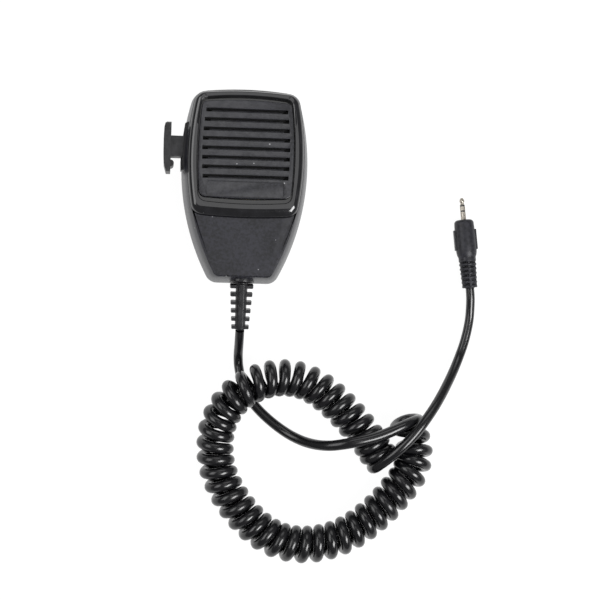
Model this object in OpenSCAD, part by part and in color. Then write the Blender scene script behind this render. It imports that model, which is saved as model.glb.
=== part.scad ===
// Hand microphone with a press-to-talk key, a curly cord and a three-pole plug.
// Frame: origin at the middle of the hang-up button's flat face, +X to the right, +Y to the top of the
// microphone, +Z out of the grille. The microphone lies on its button, with the cord beside it on Z = 0.

/* [Housing] */
// Greatest width of the housing
body_w = 61.4; // [60.4:0.2:62]
// Length of the housing, without the strain relief
body_h = 94; // [93:0.5:95]
// Wall thickness of both covers
wall = 2.2; // [2:0.1:2.4]

/* [Grille] */
// Number of sound slots
slot_count = 8; // [6:1:8]
// Distance from slot to slot
slot_pitch = 4.56; // [4.2:0.02:4.6]
// Height of a slot at its two ends
slot_h = 1.9; // [1.6:0.1:2]
// Clear height of a slot between its louvre blades
louvre_gap = 1.1; // [0.8:0.1:1.3]

/* [Key] */
// Travel of the press-to-talk key
key_travel = 2.5; // [2:0.1:2.5]
// Length of the key's finger bar
key_bar_h = 24.1; // [22:0.1:26]
// Width of the key's stem
key_stem_w = 10; // [9:0.2:10]

/* [Cord] */
// Diameter of the cord
cord_d = 4.6; // [4.4:0.1:4.7]
// Outer diameter of the coiled stretch
coil_d = 18.4; // [17.6:0.2:18.6]

/* [Plug] */
// Diameter of the plug's pin
pin_d = 2.5; // [2.5]
// Length of the plug's pin
pin_l = 11; // [10.6:0.1:11.4]
// Greatest diameter of the plug's moulded body
plug_d = 10.3; // [9.8:0.1:10.4]

/* [Hidden] */
$fn = 48;
eps = 0.01;

// Heights of the housing above the button's face
rear_z = 5.5;
part_z = 17;
face_z = 29.2;
bezel_z = 32;
panel_z = 27.6;
panel_t = 3.2;
ledge_z = 26.3;

// Barrel sides: height of the widest point and radius of the side, for each outline
body_side = [10, 115];
bezel_side = [13, 135];
opening_side = [14, 200];
slot_side = [15, 143];
top_r = 8;
bottom_r = 6;
crown = 1;
corner_steps = 5;
side_steps = 9;
edge_steps = 6;

// Bezel and grille panel
bezel_w = body_w - 5.2;
bezel_top = 45.2;
bezel_bottom = -16.4;
bezel_r = 6;
bezel_seat_z = 28;
opening_w = bezel_w - 9.4;
opening_top = 42.2;
opening_bottom = -9.7;
opening_r = 4;
spigot_t = 0.9;
ledge_w = 2.2;
panel_gap = 0.3;
panel_top = 40.4;
panel_bottom = -7.1;
slot_top_y = 35.1;
slot_end_w = 2.8;
slot_w = opening_w - 4.6;
louvre_rise = 1.1;
label_w = 37.2;
label_h = 7.4;
label_depth = 0.35;

// Fasteners
cover_screw_at = [[21.5, 37], [-21.5, 37], [13, -38], [-13, -38]];
boss_r = 3;
insert_r = 1.9;
screw_r = 1.3;
fit = 0.05;
board_z = 15.2;
board_t = 1.6;
board_top = board_z + board_t;
board_screw_at = [[-13, 29.5], [18.5, 27.5], [13, -27], [-11.5, -27]];

post_r = 2.6;
tap_r = 1.15;
clamp_screw_at = [[-7.6, -35.6], [7.6, -35.6]];
clamp_z = 17.2;
clamp_t = 1;
clamp_y = [-38, -33.2];

// Parts on the board
capsule_at = [0, 17];
capsule_r = 4.8;
capsule_z = 20.1;
boot_r = 7;
can_at = [[-9, -3], [-9, -10.5], [16, 5]];
can_r = [2.6, 2.2, 2.2];
can_h = [7, 6, 6];
trimmer_at = [12.5, -18.2];
header_y = -27;
pin_pitch = 3;
pins = 4;

// Maker's label field pressed into the back
rear_label = [26, 13];
rear_label_y = -26;
rear_label_depth = 0.4;

// Press-to-talk key: it slides along X through a guide in the left wall
key_y = 18.3;
key_z = 17.5;
key_out_x = -39.6;
key_bar_t = 3.6;
key_bar_y = 5.6;
key_bow = 0.5;
stop_r = 1.6;
stop_y = 9.8;
key_bar_d = 14;
key_stem_d = 8;
guide_x = -31.2;
guide_in_x = -27;
guide_y = [7, 30];
guide_z = [11.5, 23.5];
// Height at which each step of the guide starts, and how far that step is inset from the widest outline
guide_steps = [[11.5, -0.5], [18, -0.3], [20, 0.1], [21.8, 0.6], [23.5, 0.6]];
slip = 0.1;
flange_t = 1.5;
finger_y = 20;
spring_y = 15.4;
spring_z = 14.6;
seat_x = -19.6;
switch_x = -17;
plunger_x = -18.4;
plunger_travel = 0.8;
button_r = 6.4;
button_neck_r = 3.6;

// Strain relief: a collar in the bottom wall and a ribbed tail that hangs down a little
relief_z = 21;
relief_r = 5.7;
tail_l = 24;
tail_drop = 18;
rib_count = 6;
rib_z = 3.1;
spine_w = 2.6;

// Plug: where its tail ends and how far it is turned from +Y
plug_at = [114.5, -45.5, 5.3];
plug_turn = 6.5;
plug_tail_l = 15.3;
plug_body_l = 19;
plug_pin_y = plug_tail_l + plug_body_l;

// Route of the cord from the strain relief, under the coil and over its far end
lead_route = [
    [0, -69.8, 13.6], [0, -73.5, 11], [0, -77.5, 7.5], [0, -81.5, 4], [0.3, -86, 2.4], [1, -90, 2.4],
    [2.2, -95, 2.4], [4.4, -100, 2.4], [7.5, -104.6, 2.4], [11.5, -109, 2.4], [16.2, -113.2, 2.4],
    [21.5, -117.2, 2.5], [27, -120.6, 4.5], [33, -123.2, 8.5], [39, -124.5, 14], [45, -124.6, 19],
    [51.5, -123.6, 22], [58, -122.2, 23], [64.5, -120.6, 22.9], [70.5, -118.6, 22.6], [76.5, -116, 22.2],
    [81.5, -113.7, 20.9], [86, -112, 17.9], [89.3, -111.2, 14.5]];
// Middle of the coiled stretch, clockwise from the right; it humps over the lead on the left
coil_route = [
    [84, -113.5, 9.4], [86.2, -120, 9.4], [87.6, -126.5, 9.4], [87, -133, 9.4], [84.2, -139.6, 9.4],
    [79.5, -146, 9.4], [73.2, -153.5, 9.4], [66, -160.2, 9.4], [58.2, -166, 9.4], [49.5, -170.3, 9.4],
    [40, -172.8, 9.4], [30.5, -173.2, 9.4], [21, -171.2, 9.4], [12.5, -166.6, 9.4], [5, -160, 9.4],
    [-1.3, -152.2, 9.4], [-6.4, -143.5, 9.4], [-9.6, -134.2, 9.6], [-10.4, -125, 10.2], [-9.4, -116.2, 11.6],
    [-6, -108.2, 13.4], [-0.8, -101.5, 14.5], [6, -96.6, 14.5], [13.5, -93.6, 13.2], [21.6, -92.3, 11.4],
    [30, -93.2, 10], [38, -96.4, 9.4], [45.5, -101.6, 9.4], [52.8, -108.2, 9.4], [59.2, -115, 9.4],
    [64.5, -121.4, 9.4], [68.5, -127, 9.4]];
// Route from the coil's end, over its first turns, to the plug
plug_route = [
    [63, -131, 9.5], [64.6, -134.2, 10.4], [67.4, -135.4, 13.2], [70.4, -133, 16.8], [74, -129.8, 19.6],
    [78.4, -125.9, 21.6], [83, -121.2, 22.6], [87.4, -116, 22.6], [91.6, -110.4, 21.4], [96, -104.4, 18.4],
    [100.2, -98.2, 14], [104, -92, 9.4], [107.4, -85.8, 5.5], [110.2, -79.6, 3], [112.4, -73.4, 2.4],
    [114, -67, 2.4], [115, -61, 2.5], [115.2, -55.5, 3.4], [115, -50.3, 4.7], [114.5, -45.5, 5.3]];

function unit(v) = v / norm(v);

// One arc of an outline, from angle a to angle b
function arc(c, r, a, b, steps) =
    [for (k = [0:steps]) c + r * [cos(a + (b - a) * k / steps), sin(a + (b - a) * k / steps)]];

// Closed outline with barrel sides: w is its greatest width, side gives the arc of its sides, i insets
// them, and the top edge rises and the bottom edge sags by a little in the middle
function barrel(w, side, i, top, bottom, rt, rb, sag = 0) =
    let(cx = w / 2 - side[1],
        r = side[1] - i,
        ty = top - crown - rt,
        by = bottom + sag + rb,
        ta = asin((ty - side[0]) / (r - rt)),
        ba = asin((by - side[0]) / (r - rb)),
        tc = [cx + (r - rt) * cos(ta), ty],
        bc = [cx + (r - rb) * cos(ba), by],
        foot = [for (k = [edge_steps - 1:-1:0.5]) [bc[0] * (1 - k / edge_steps),
                bottom + sag * pow(1 - k / edge_steps, 2)]],
        head = [for (k = [1:edge_steps - 1]) [tc[0] * (1 - k / edge_steps),
                top - crown * pow(1 - k / edge_steps, 2)]],
        half = concat(foot,
                      arc(bc, rb, -90, ba, corner_steps),
                      [for (k = [1:side_steps - 1]) let(a = ba + (ta - ba) * k / side_steps)
                          [cx + r * cos(a), side[0] + r * sin(a)]],
                      arc(tc, rt, ta, 90, corner_steps),
                      head))
    concat([[0, bottom]], half, [[0, top]],
           [for (k = [len(half) - 1:-1:0]) [-half[k][0], half[k][1]]]);

// Outline of a cover at height z, inset by s at the sides, t at the top and b at the bottom
function cover_ring(z, s, t, b) =
    [z, barrel(body_w, body_side, s, body_h / 2 - t, -body_h / 2 + b,
               max(1.5, top_r - (s + t) / 2), max(1.5, bottom_r - (s + b) / 2))];

// Closed solid through a stack of outlines, each given as [z, outline]
module loft(rings) {
    n = len(rings[0][1]);
    points = [for (r = rings) for (p = r[1]) [p[0], p[1], r[0]]];
    sides = [for (j = [0:len(rings) - 2]) for (k = [0:n - 1])
                [j * n + k, (j + 1) * n + k, (j + 1) * n + (k + 1) % n, j * n + (k + 1) % n]];
    last = (len(rings) - 1) * n;
    polyhedron(points, concat([[for (k = [0:n - 1]) k]], sides, [[for (k = [n - 1:-1:0]) last + k]]));
}

function heading(path, k) = unit(path[min(k + 1, len(path) - 1)] - path[max(k - 1, 0)]);

// Round tube swept along a route, with its rings square to the route
module tube(path, d, sides) {
    rings = [for (k = [0:len(path) - 1])
                let(t = heading(path, k), u = unit(cross(t, [0, 0, 1])), v = cross(u, t))
                for (j = [0:sides - 1])
                    path[k] + d / 2 * (cos(360 * j / sides) * u + sin(360 * j / sides) * v)];
    skin = [for (k = [0:len(path) - 2]) for (j = [0:sides - 1])
               [k * sides + j, k * sides + (j + 1) % sides,
                (k + 1) * sides + (j + 1) % sides, (k + 1) * sides + j]];
    last = (len(path) - 1) * sides;
    polyhedron(rings, concat([[for (j = [sides - 1:-1:0]) j]], skin, [[for (j = [0:sides - 1]) last + j]]));
}

// Straight round bar between two heights
module post(at, r, low, high) {
    translate([at[0], at[1], low]) cylinder(r = r, h = high - low);
}

// Box given by its two opposite corners
module block(low, high) {
    translate(low) cube(high - low);
}

// Screw with its head at the low end when up = 1, and at the high end when up = -1
module screw(at, z, up, r, l, head_r, head_h) {
    translate([at[0], at[1], z]) scale_up(up) {
        difference() {
            cylinder(r = head_r, h = head_h);
            translate([-head_r * 0.6, -0.25, -eps]) cube([head_r * 1.2, 0.5, head_h * 0.4]);
            translate([-0.25, -head_r * 0.6, -eps]) cube([0.5, head_r * 1.2, head_h * 0.4]);
        }
        translate([0, 0, head_h - eps]) cylinder(r = r, h = l);
    }
}

module scale_up(up) {
    if (up > 0) children();
    else rotate([180, 0, 0]) children();
}

// Hole through the left wall, shared by both covers, for the key's guide
module guide_hole() {
    block([-body_w, guide_y[0] - slip, guide_z[0] - slip], [-20, guide_y[1] + slip, guide_z[1] + slip]);
}

// Seat of the strain relief's collar, through the bottom wall and open at the parting line
module relief_seat(low, high) {
    intersection() {
        union() {
            translate([0, -35, relief_z]) rotate([90, 0, 0]) cylinder(r = relief_r + 0.1, h = 20);
            block([-relief_r - 0.1, -55, part_z - 1.8], [relief_r + 0.1, -35, relief_z]);
        }
        block([-10, -60, low], [10, -41, high]);
    }
}

module front_cover() color([0.1, 0.1, 0.11]) {
    difference() {
        union() {
            difference() {
                loft([cover_ring(part_z, 0.3, 0.3, 0.3), cover_ring(part_z + 0.5, 0, 0, 0),
                      cover_ring(20, 0.4, 0.2, 0.3), cover_ring(25, 1.6, 0.8, 1.3),
                      cover_ring(28.4, 3, 1.3, 2.3), cover_ring(face_z, 3.6, 1.8, 3)]);
                loft([cover_ring(part_z - 1, wall, wall, wall), cover_ring(20, wall + 0.4, wall, wall + 0.3),
                      cover_ring(face_z - wall, wall + 2, wall + 0.8, wall + 1.8)]);
            }
            intersection() {
                union() {
                    for (at = cover_screw_at) post(at, boss_r, part_z + 0.3, ledge_z - 0.3);
                    for (at = cover_screw_at) if (at[1] < 0) post(at, boss_r, part_z + 0.3, face_z - 1);
                    for (at = clamp_screw_at) post(at, 2.2, clamp_z + clamp_t + 0.5, face_z - 1);
                }
                loft([cover_ring(part_z, 1, 1, 1), cover_ring(20, 1.3, 1, 1.3),
                      cover_ring(face_z - 0.5, 3.8, 2.4, 3.4)]);
            }
        }
        loft([[ledge_z - 0.4, window(fit)], [face_z + 1, window(fit)]]);
        loft([bezel_ring(bezel_seat_z - 0.02, -fit, -fit, -fit), bezel_ring(face_z + 1, -fit, -fit, -fit)]);
        for (at = cover_screw_at) post(at, insert_r, part_z, part_z + 7.5);
        for (at = clamp_screw_at) post(at, 1, clamp_z, clamp_z + 8.2);
        guide_hole();
        relief_seat(part_z - 1, 40);
    }
}

// Outline of the bezel's opening, inset by i
function opening(i) =
    barrel(opening_w, opening_side, i, opening_top - i, opening_bottom + i, max(1.5, opening_r - i),
           max(1.5, opening_r - i), 0.8);

// Outline of the bezel's spigot, grown by g
function window(g) = opening(-spigot_t - g);

// Outline of the bezel's raised ring at height z
function bezel_ring(z, s, t, b) =
    [z, barrel(bezel_w, bezel_side, s, bezel_top - t, bezel_bottom + b, max(2, bezel_r - s),
               max(2, bezel_r - (s + b) / 2), 0.8)];

module rear_cover() color([0.09, 0.09, 0.1]) {
    difference() {
        union() {
            difference() {
                loft([cover_ring(rear_z, 8, 8, 8), cover_ring(6.2, 5, 5, 5), cover_ring(8, 2.3, 2.3, 2.3),
                      cover_ring(12, 0.6, 0.6, 0.6), cover_ring(part_z - 0.5, 0, 0, 0),
                      cover_ring(part_z, 0.3, 0.3, 0.3)]);
                loft([cover_ring(rear_z + wall, wall + 4, wall + 4, wall + 4),
                      cover_ring(10, wall + 1, wall + 1, wall + 1),
                      cover_ring(13, wall + 0.3, wall + 0.3, wall + 0.3),
                      cover_ring(part_z + 1, wall, wall, wall)]);
            }
            for (at = cover_screw_at) post(at, boss_r + 1, 8, part_z);
            for (at = board_screw_at) post(at, post_r, rear_z + wall - 0.5, board_z);
            block([seat_x, 12.4, rear_z + wall - 0.5], [seat_x + 1.4, 18.4, 17]);
            post([0, 0], 8, rear_z - 0.6, rear_z + wall);
            post([0, 0], 5.4, rear_z + wall - 0.5, rear_z + wall + 1.2);
        }
        for (at = cover_screw_at) {
            post(at, boss_r - 0.1, 0, 8.4);
            post(at, screw_r + 0.15, 8, part_z + 1);
        }
        for (at = board_screw_at) post(at, tap_r, board_z - 6, board_z + 1);
        post([0, 0], 2.45, 0, 12);
        block([-rear_label[0] / 2, rear_label_y, rear_z - 1],
              [rear_label[0] / 2, rear_label_y + rear_label[1], rear_z + rear_label_depth]);
        guide_hole();
        relief_seat(0, part_z + 1);
    }
}

module grille_bezel() color([0.05, 0.05, 0.055]) {
    difference() {
        union() {
            loft([bezel_ring(bezel_seat_z, 0, 0, 0), bezel_ring(face_z, 0.1, 0.1, 0),
                  bezel_ring(30.6, 0.7, 0.4, 1), bezel_ring(31.6, 1.8, 0.9, 2.8),
                  bezel_ring(bezel_z, 2.8, 1.3, 4.3)]);
            loft([[ledge_z, window(0)], [face_z, window(0)]]);
        }
        loft([[panel_z - 0.1, opening(0)], [bezel_z + 1, opening(0)]]);
        loft([[ledge_z - 1, opening(ledge_w)], [panel_z, opening(ledge_w)]]);
    }
}

// Outline of the panel, inset by i from its own edge
function panel_outline(i) =
    barrel(opening_w - 2 * panel_gap, opening_side, i, panel_top - i, panel_bottom + i, 2.6, 3.4, 0.5);

// Half the length of the slot at height y
function slot_half(y) =
    slot_w / 2 - slot_side[1] + sqrt(pow(slot_side[1], 2) - pow(y - slot_side[0], 2));

module grille_panel() color([0.16, 0.16, 0.17]) {
    top = panel_z + panel_t;
    difference() {
        loft([[panel_z, panel_outline(0)], [top - 0.5, panel_outline(0)], [top, panel_outline(0.4)]]);
        for (k = [0:slot_count - 1]) {
            y = slot_top_y - k * slot_pitch;
            w = slot_half(y);
            translate([-w, y + slot_h / 2 - louvre_gap, panel_z - 1]) cube([2 * w, louvre_gap, panel_t + 2]);
            for (x = [-w, w - slot_end_w])
                translate([x, y - slot_h / 2, panel_z - 1]) cube([slot_end_w, slot_h, panel_t + 2]);
            translate([-w, y, top - louvre_rise]) rotate([90, 0, 90]) linear_extrude(2 * w)
                polygon([[0, 0], [slot_h / 2, louvre_rise + 0.1], [-slot_h / 2, louvre_rise + 0.1]]);
        }
        label_recess(top);
    }
}

// Blank label field with round corners
module label_recess(top) {
    r = 1.4;
    translate([0, (panel_bottom + 0.7) + label_h / 2, top - label_depth]) {
        cube_centred(label_w - 2 * r, label_h, 1);
        cube_centred(label_w, label_h - 2 * r, 1);
        for (x = [-1, 1]) for (y = [-1, 1])
            translate([x * (label_w / 2 - r), y * (label_h / 2 - r), 0]) cylinder(r = r, h = 1);
    }
}

module cube_centred(w, h, t) {
    translate([-w / 2, -h / 2, 0]) cube([w, h, t]);
}

module dust_cloth() color([0.03, 0.03, 0.03])
    loft([[panel_z - 0.6, opening(ledge_w + 0.3)], [panel_z - 0.05, opening(ledge_w + 0.3)]]);

module capsule_boot() color([0.12, 0.12, 0.12]) difference() {
    post(capsule_at, boot_r, board_top, panel_z - 0.7);
    post(capsule_at, capsule_r + fit, capsule_z, panel_z);
    post(capsule_at, 2.6, board_top - 1, capsule_z + 1);
}

module mic_capsule() color([0.75, 0.75, 0.77]) {
    difference() {
        post(capsule_at, capsule_r, capsule_z + fit, panel_z - 0.8);
        post(capsule_at, 1, panel_z - 1.6, panel_z);
        for (x = [-2.4, 2.4]) post([x, capsule_at[1]], 0.5, panel_z - 1.6, panel_z);
    }
}

module capsule_wires() color([0.7, 0.1, 0.1])
    for (x = [-1.2, 1.2]) post([x, capsule_at[1]], 0.5, board_top + 0.02, capsule_z + 0.03);

module circuit_board() color([0.05, 0.3, 0.15]) difference() {
    translate([0, 0, board_z]) linear_extrude(board_t)
        polygon([[-17, 31], [-15, 32.5], [20.5, 32.5], [22.5, 31],
                 [22.5, -8], [17, -31], [-15, -31], [-17, -20]]);
    for (at = board_screw_at) post(at, 1.35, board_z - 1, board_top + 1);
    post([0, 0], 1.5, board_z - 1, board_top + 1);
    for (k = [-1:1]) terminal(k, 0.15);
}

// Terminal k of the switch, through the board, grown by g
module terminal(k, g) {
    block([switch_x + 2.4 - g, finger_y + 4.6 * k - 0.3 - g, board_z - 1.5],
          [switch_x + 3.4 + g, finger_y + 4.6 * k + 0.3 + g, board_top + 0.4]);
}

module board_screws() color("silver")
    for (at = board_screw_at) screw(at, board_top + 1.4, -1, 1.1, 5.5, 2.2, 1.38);

module capacitors() color([0.1, 0.12, 0.3])
    for (k = [0:len(can_at) - 1]) can(can_at[k], can_r[k], can_h[k]);

// Upright electrolytic can with its rolled groove
module can(at, r, h) difference() {
    post(at, r, board_top, board_top + h);
    translate([at[0], at[1], board_top + 1]) rotate_extrude() translate([r, 0]) circle(r = 0.3);
}

module resistors() color([0.75, 0.65, 0.45])
    for (k = [0:3]) translate([0, -6 - 3.4 * k, board_top + 1.15]) {
        rotate([0, 90, 0]) cylinder(r = 1.05, h = 6);
        translate([-1.6, 0, 0]) rotate([0, 90, 0]) cylinder(r = 0.3, h = 9.2, $fn = 24);
        for (x = [-1.6, 7.6]) translate([x, 0, -1.13]) cylinder(r = 0.3, h = 1.4, $fn = 24);
    }

module amplifier_chip() color([0.08, 0.08, 0.08]) translate([8, 21, board_top]) {
    translate([0, 0, 0.6]) cube([6.4, 9.4, 3]);
    for (k = [0:3]) for (x = [-1, 6.2]) translate([x, 0.7 + 2.54 * k, 0]) cube([1.2, 0.5, 1.7]);
}

module trimmer_base() color([0.1, 0.25, 0.6]) difference() {
    block([trimmer_at[0] - 3.3, trimmer_at[1] - 3.3, board_top],
          [trimmer_at[0] + 3.3, trimmer_at[1] + 3.3, board_top + 3]);
    post(trimmer_at, 2.35, board_top + 1.5, board_top + 4);
    post(trimmer_at, 0.85, board_top + 0.5, board_top + 2);
}

module trimmer_rotor() color([0.85, 0.85, 0.8]) difference() {
    union() {
        post(trimmer_at, 2.25, board_top + 1.6, board_top + 3.5);
        post(trimmer_at, 0.8, board_top + 0.7, board_top + 1.7);
    }
    block([trimmer_at[0] - 1.7, trimmer_at[1] - 0.3, board_top + 2.7],
          [trimmer_at[0] + 1.7, trimmer_at[1] + 0.3, board_top + 4]);
}

function pin_x(k) = (k - (pins - 1) / 2) * pin_pitch;

module wire_header() color([0.9, 0.9, 0.85]) difference() {
    block([-pins * pin_pitch / 2, header_y - 2.5, board_top],
          [pins * pin_pitch / 2, header_y + 2.5, board_top + 5]);
    for (k = [0:pins - 1]) post([pin_x(k), header_y], 0.75, board_top + 1, board_top + 6);
}

module cord_wires() color([0.2, 0.5, 0.8])
    for (k = [0:pins - 1]) {
        x = pin_x(k);
        y = (k % 3 == 0) ? 0.7 : -0.7;
        tube([[x / 5, header_y - 5.4, relief_z + y], [x / 2, header_y - 4.2, relief_z + 1.6],
              [x, header_y - 2.4, board_top + 6.4], [x, header_y - 0.6, board_top + 6.5]], 1.1, 8);
        post([x, header_y], 0.6, board_top + 1.05, board_top + 6.6);
    }

// Finger bar with a bowed outer face and round ends, stem, stop flange, finger and spring pin
module ptt_key() color([0.07, 0.07, 0.08]) {
    intersection() {
        translate([key_out_x, key_bar_y, 0]) linear_extrude(60) polygon(concat(
            [[key_bar_t, 0], [key_bar_t, key_bar_h], [1.4, key_bar_h]],
            [for (k = [12:-1:2]) [key_bow * pow(k / 6 - 1.2, 2) + ((k == 12) ? 0.3 : 0),
                                  key_bar_h * k / 12.4]],
            [[1.5, 0]]));
        translate([0, key_bar_y + key_bar_h / 2, key_z]) rotate([0, 90, 0]) translate([0, 0, -60])
            linear_extrude(120) intersection() {
                circle(r = key_bar_h / 2 + 1.2);
                square([key_bar_d, key_bar_h], center = true);
            }
    }
    stem_y = [key_y - key_stem_w / 2, key_y + key_stem_w / 2];
    stem_z = [key_z - key_stem_d / 2, key_z + key_stem_d / 2];
    block([key_out_x + 2, stem_y[0], stem_z[0]], [guide_in_x + 1, stem_y[1], stem_z[1]]);
    block([guide_in_x + 0.1, stem_y[0] - 1.3, stem_z[0] - 1.3],
          [guide_in_x + 0.1 + flange_t, stem_y[1] + 1.3, stem_z[1] + 1.3]);
    block([guide_in_x + flange_t, finger_y - 1.5, 19],
          [plunger_x - key_travel + plunger_travel - fit, finger_y + 1.5, 22]);
    translate([guide_in_x + flange_t, spring_y, spring_z]) rotate([0, 90, 0]) cylinder(r = 1.3, h = 2.2);
    translate([key_out_x + key_bar_t, stop_y, key_z - 5.5]) cylinder(r = stop_r, h = 11);
}

module ptt_guide() color([0.2, 0.2, 0.21]) difference() {
    intersection() {
        block([guide_x, guide_y[0], guide_z[0]], [guide_in_x, guide_y[1], guide_z[1]]);
        for (k = [0:len(guide_steps) - 2])
            translate([0, 0, guide_steps[k][0]]) linear_extrude(guide_steps[k + 1][0] - guide_steps[k][0])
                polygon(cover_ring(0, guide_steps[k][1], 0, 0)[1]);
    }
    block([guide_x - 1, key_y - key_stem_w / 2 - 0.2, key_z - key_stem_d / 2 - 0.2],
          [guide_in_x + 1, key_y + key_stem_w / 2 + 0.2, key_z + key_stem_d / 2 + 0.2]);
}

// Compression spring between the key's flange and the rear cover's rib
module ptt_spring() color("silver") {
    turns = 5;
    per_turn = 12;
    low = guide_in_x + 0.1 + flange_t + 0.3;
    high = seat_x - 0.3;
    rise = (high - low) / (turns * per_turn);
    coil = [for (k = [0:turns * per_turn])
               [2 * cos(360 * k / per_turn), 2 * sin(360 * k / per_turn), k * rise]];
    translate([low, spring_y, spring_z]) rotate([0, 90, 0]) tube(coil, 0.45, 6);
}

module ptt_switch() color([0.12, 0.12, 0.13]) difference() {
    block([switch_x, finger_y - 6.4, board_top + 0.4], [switch_x + 5.8, finger_y + 6.4, board_top + 6.8]);
    translate([switch_x - 1, finger_y, 20.5]) rotate([0, 90, 0]) cylinder(r = 0.95, h = 4);
    for (y = [-5, 5]) post([switch_x + 2.9, finger_y + y], 0.9, board_top + 5, board_top + 8);
}

module switch_plunger() color([0.85, 0.2, 0.15])
    translate([plunger_x, finger_y, 20.5]) rotate([0, 90, 0]) cylinder(r = 0.9, h = 3);

module switch_terminals() color("gold")
    for (k = [-1:1]) terminal(k, 0);

module hang_button() color([0.1, 0.1, 0.1]) difference() {
    rotate_extrude() polygon(concat([[0, 0], [button_r - 0.6, 0]], arc([button_r - 0.6, 0.6], 0.6, -90, 0, 4),
        [[button_r, 1.4], [button_r - 1, 2], [button_neck_r, 2], [button_neck_r, rear_z - 0.6],
         [2.4, rear_z - 0.6], [2.4, rear_z + wall + 1.1], [0, rear_z + wall + 1.1]]));
    post([0, 0], 1.25, 2.4, 12);
}

module hang_washer() color("silver") difference() {
    post([0, 0], 4.2, rear_z + wall + 1.2, rear_z + wall + 2);
    post([0, 0], 1.5, 0, 20);
}

module hang_screw() color("silver") screw([0, 0], rear_z + wall + 4, -1, 1.2, 6.2, 2.6, 1.98);

module cover_screws() color([0.15, 0.15, 0.15])
    for (at = cover_screw_at) screw(at, 6.5, 1, screw_r - 0.05, 14, 2.6, 1.88);

module thread_inserts() color("gold")
    for (at = cover_screw_at) difference() {
        post(at, insert_r - fit, part_z + 0.4, part_z + 6.4);
        post(at, screw_r, part_z - 1, part_z + 7);
    }

module cord_clamp() color("silver") difference() {
    union() {
        block([-10, clamp_y[0], clamp_z], [10, clamp_y[1], clamp_z + clamp_t]);
        block([-3.2, clamp_y[0], clamp_z + 0.4], [3.2, clamp_y[1], relief_z - cord_d / 2]);
    }
    for (at = clamp_screw_at) post(at, 1.2, clamp_z - 1, clamp_z + 2);
}

module clamp_screws() color("silver")
    for (at = clamp_screw_at) screw(at, clamp_z - 1.4, 1, 0.95, 6.4, 1.9, 1.38);

// Collar with a domed top between the covers, and a ribbed tail with a spine along it
module strain_relief() color([0.06, 0.06, 0.065]) {
    collar_in = -41.5;
    collar_out = -47;
    translate([0, collar_in, relief_z]) rotate([90, 0, 0]) cylinder(r = relief_r, h = collar_in - collar_out);
    block([-relief_r, collar_out, part_z - 1.7], [relief_r, collar_in, relief_z]);
    block([-relief_r - 1.6, collar_in, part_z - 1], [relief_r + 1.6, collar_in + 1.6, relief_z + 4]);
    translate([0, collar_out + 0.6, relief_z]) rotate([tail_drop, 0, 0]) {
        rotate([90, 0, 0]) cylinder(r1 = 2.9, r2 = 2.5, h = tail_l);
        for (k = [0:rib_count - 1]) translate([0, -1.2 - 4.1 * k, 0]) rotate([90, 0, 0]) intersection() {
            cylinder(r = relief_r - 0.28 * k, h = 2.1);
            translate([-relief_r, -rib_z, 0]) cube([2 * relief_r, 2 * rib_z, 2.1]);
        }
        for (a = [0, 180]) rotate([0, a, 0]) translate([-spine_w / 2, -tail_l + 1.5, 0])
            cube([spine_w, tail_l - 2, 4.1]);
    }
}

module cord_end() color([0.08, 0.08, 0.08])
    translate([0, -32.4, relief_z]) rotate([90, 0, 0]) cylinder(d = cord_d, h = 7.5);

module cord_lead() color([0.08, 0.08, 0.08]) tube(lead_route, cord_d, 8);

module cord_coil() color([0.08, 0.08, 0.08]) tube(coil_route, coil_d, 12);

module cord_plug_lead() color([0.08, 0.08, 0.08]) tube(plug_route, cord_d, 8);

// Puts a piece of the plug in its place: local +Y runs from the cord to the tip of the pin
module on_plug() {
    translate(plug_at) rotate([0, 0, plug_turn]) children();
}

// Solid turned about the plug's axis, from a profile of [radius, distance along the axis]
module turned(profile) {
    rotate([-90, 0, 0]) rotate_extrude() polygon(profile);
}

module plug_body() color([0.05, 0.05, 0.05]) on_plug() difference() {
    r = plug_d / 2;
    union() {
        turned(concat([[0, plug_tail_l], [r - 0.9, plug_tail_l], [r - 0.3, plug_tail_l + 1.6],
                       [r, plug_tail_l + 4.4], [r - 0.1, plug_pin_y - 8], [r - 0.6, plug_pin_y - 1.4]],
                      arc([r - 2, plug_pin_y - 1.4], 1.4, 0, 90, 6), [[0, plug_pin_y]]));
        turned([[0, 0], [3, 0], [3.2, plug_tail_l + 1], [0, plug_tail_l + 1]]);
        for (k = [0:5]) turned([[0, 0.3 + 2.2 * k], [3.75 + 0.1 * k, 0.3 + 2.2 * k],
                                [3.8 + 0.1 * k, 1.5 + 2.2 * k], [0, 1.5 + 2.2 * k]]);
        turned([[0, 13.3], [4.2, 13.3], [4.2, plug_tail_l + 0.5], [0, plug_tail_l + 0.5]]);
        for (a = [0, 180]) rotate([0, a, 0]) translate([-0.6, 0.3, 0]) cube([1.2, plug_tail_l, 3.9]);
        for (x = [-1, 1]) translate([x * (r - 0.4) - 0.9, plug_tail_l + 4, -1.6]) cube([1.8, 10, 3.2]);
    }
    turned([[0, plug_pin_y - 6], [0.85, plug_pin_y - 6], [0.85, plug_pin_y + 1], [0, plug_pin_y + 1]]);
}

// Insulating core: a stalk through the pin with two rings that show between the contacts
module plug_core() color([0.1, 0.1, 0.1]) on_plug() {
    turned([[0, plug_pin_y - 6], [0.8, plug_pin_y - 6], [0.8, plug_pin_y + pin_l - 3.4],
            [0, plug_pin_y + pin_l - 3.4]]);
    for (back = [3.9, 6.65]) {
        y = plug_pin_y + pin_l - back;
        turned([[0, y - 0.3], [pin_d / 2, y - 0.3], [pin_d / 2, y + 0.3], [0, y + 0.3]]);
    }
}

// Hollow contact barrel from y = low to y = high of the plug
module contact(low, high) {
    turned([[0.85, low], [pin_d / 2, low], [pin_d / 2, high], [0.85, high]]);
}

module plug_sleeve() color("silver") on_plug() contact(plug_pin_y, plug_pin_y + pin_l - 6.95);

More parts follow.
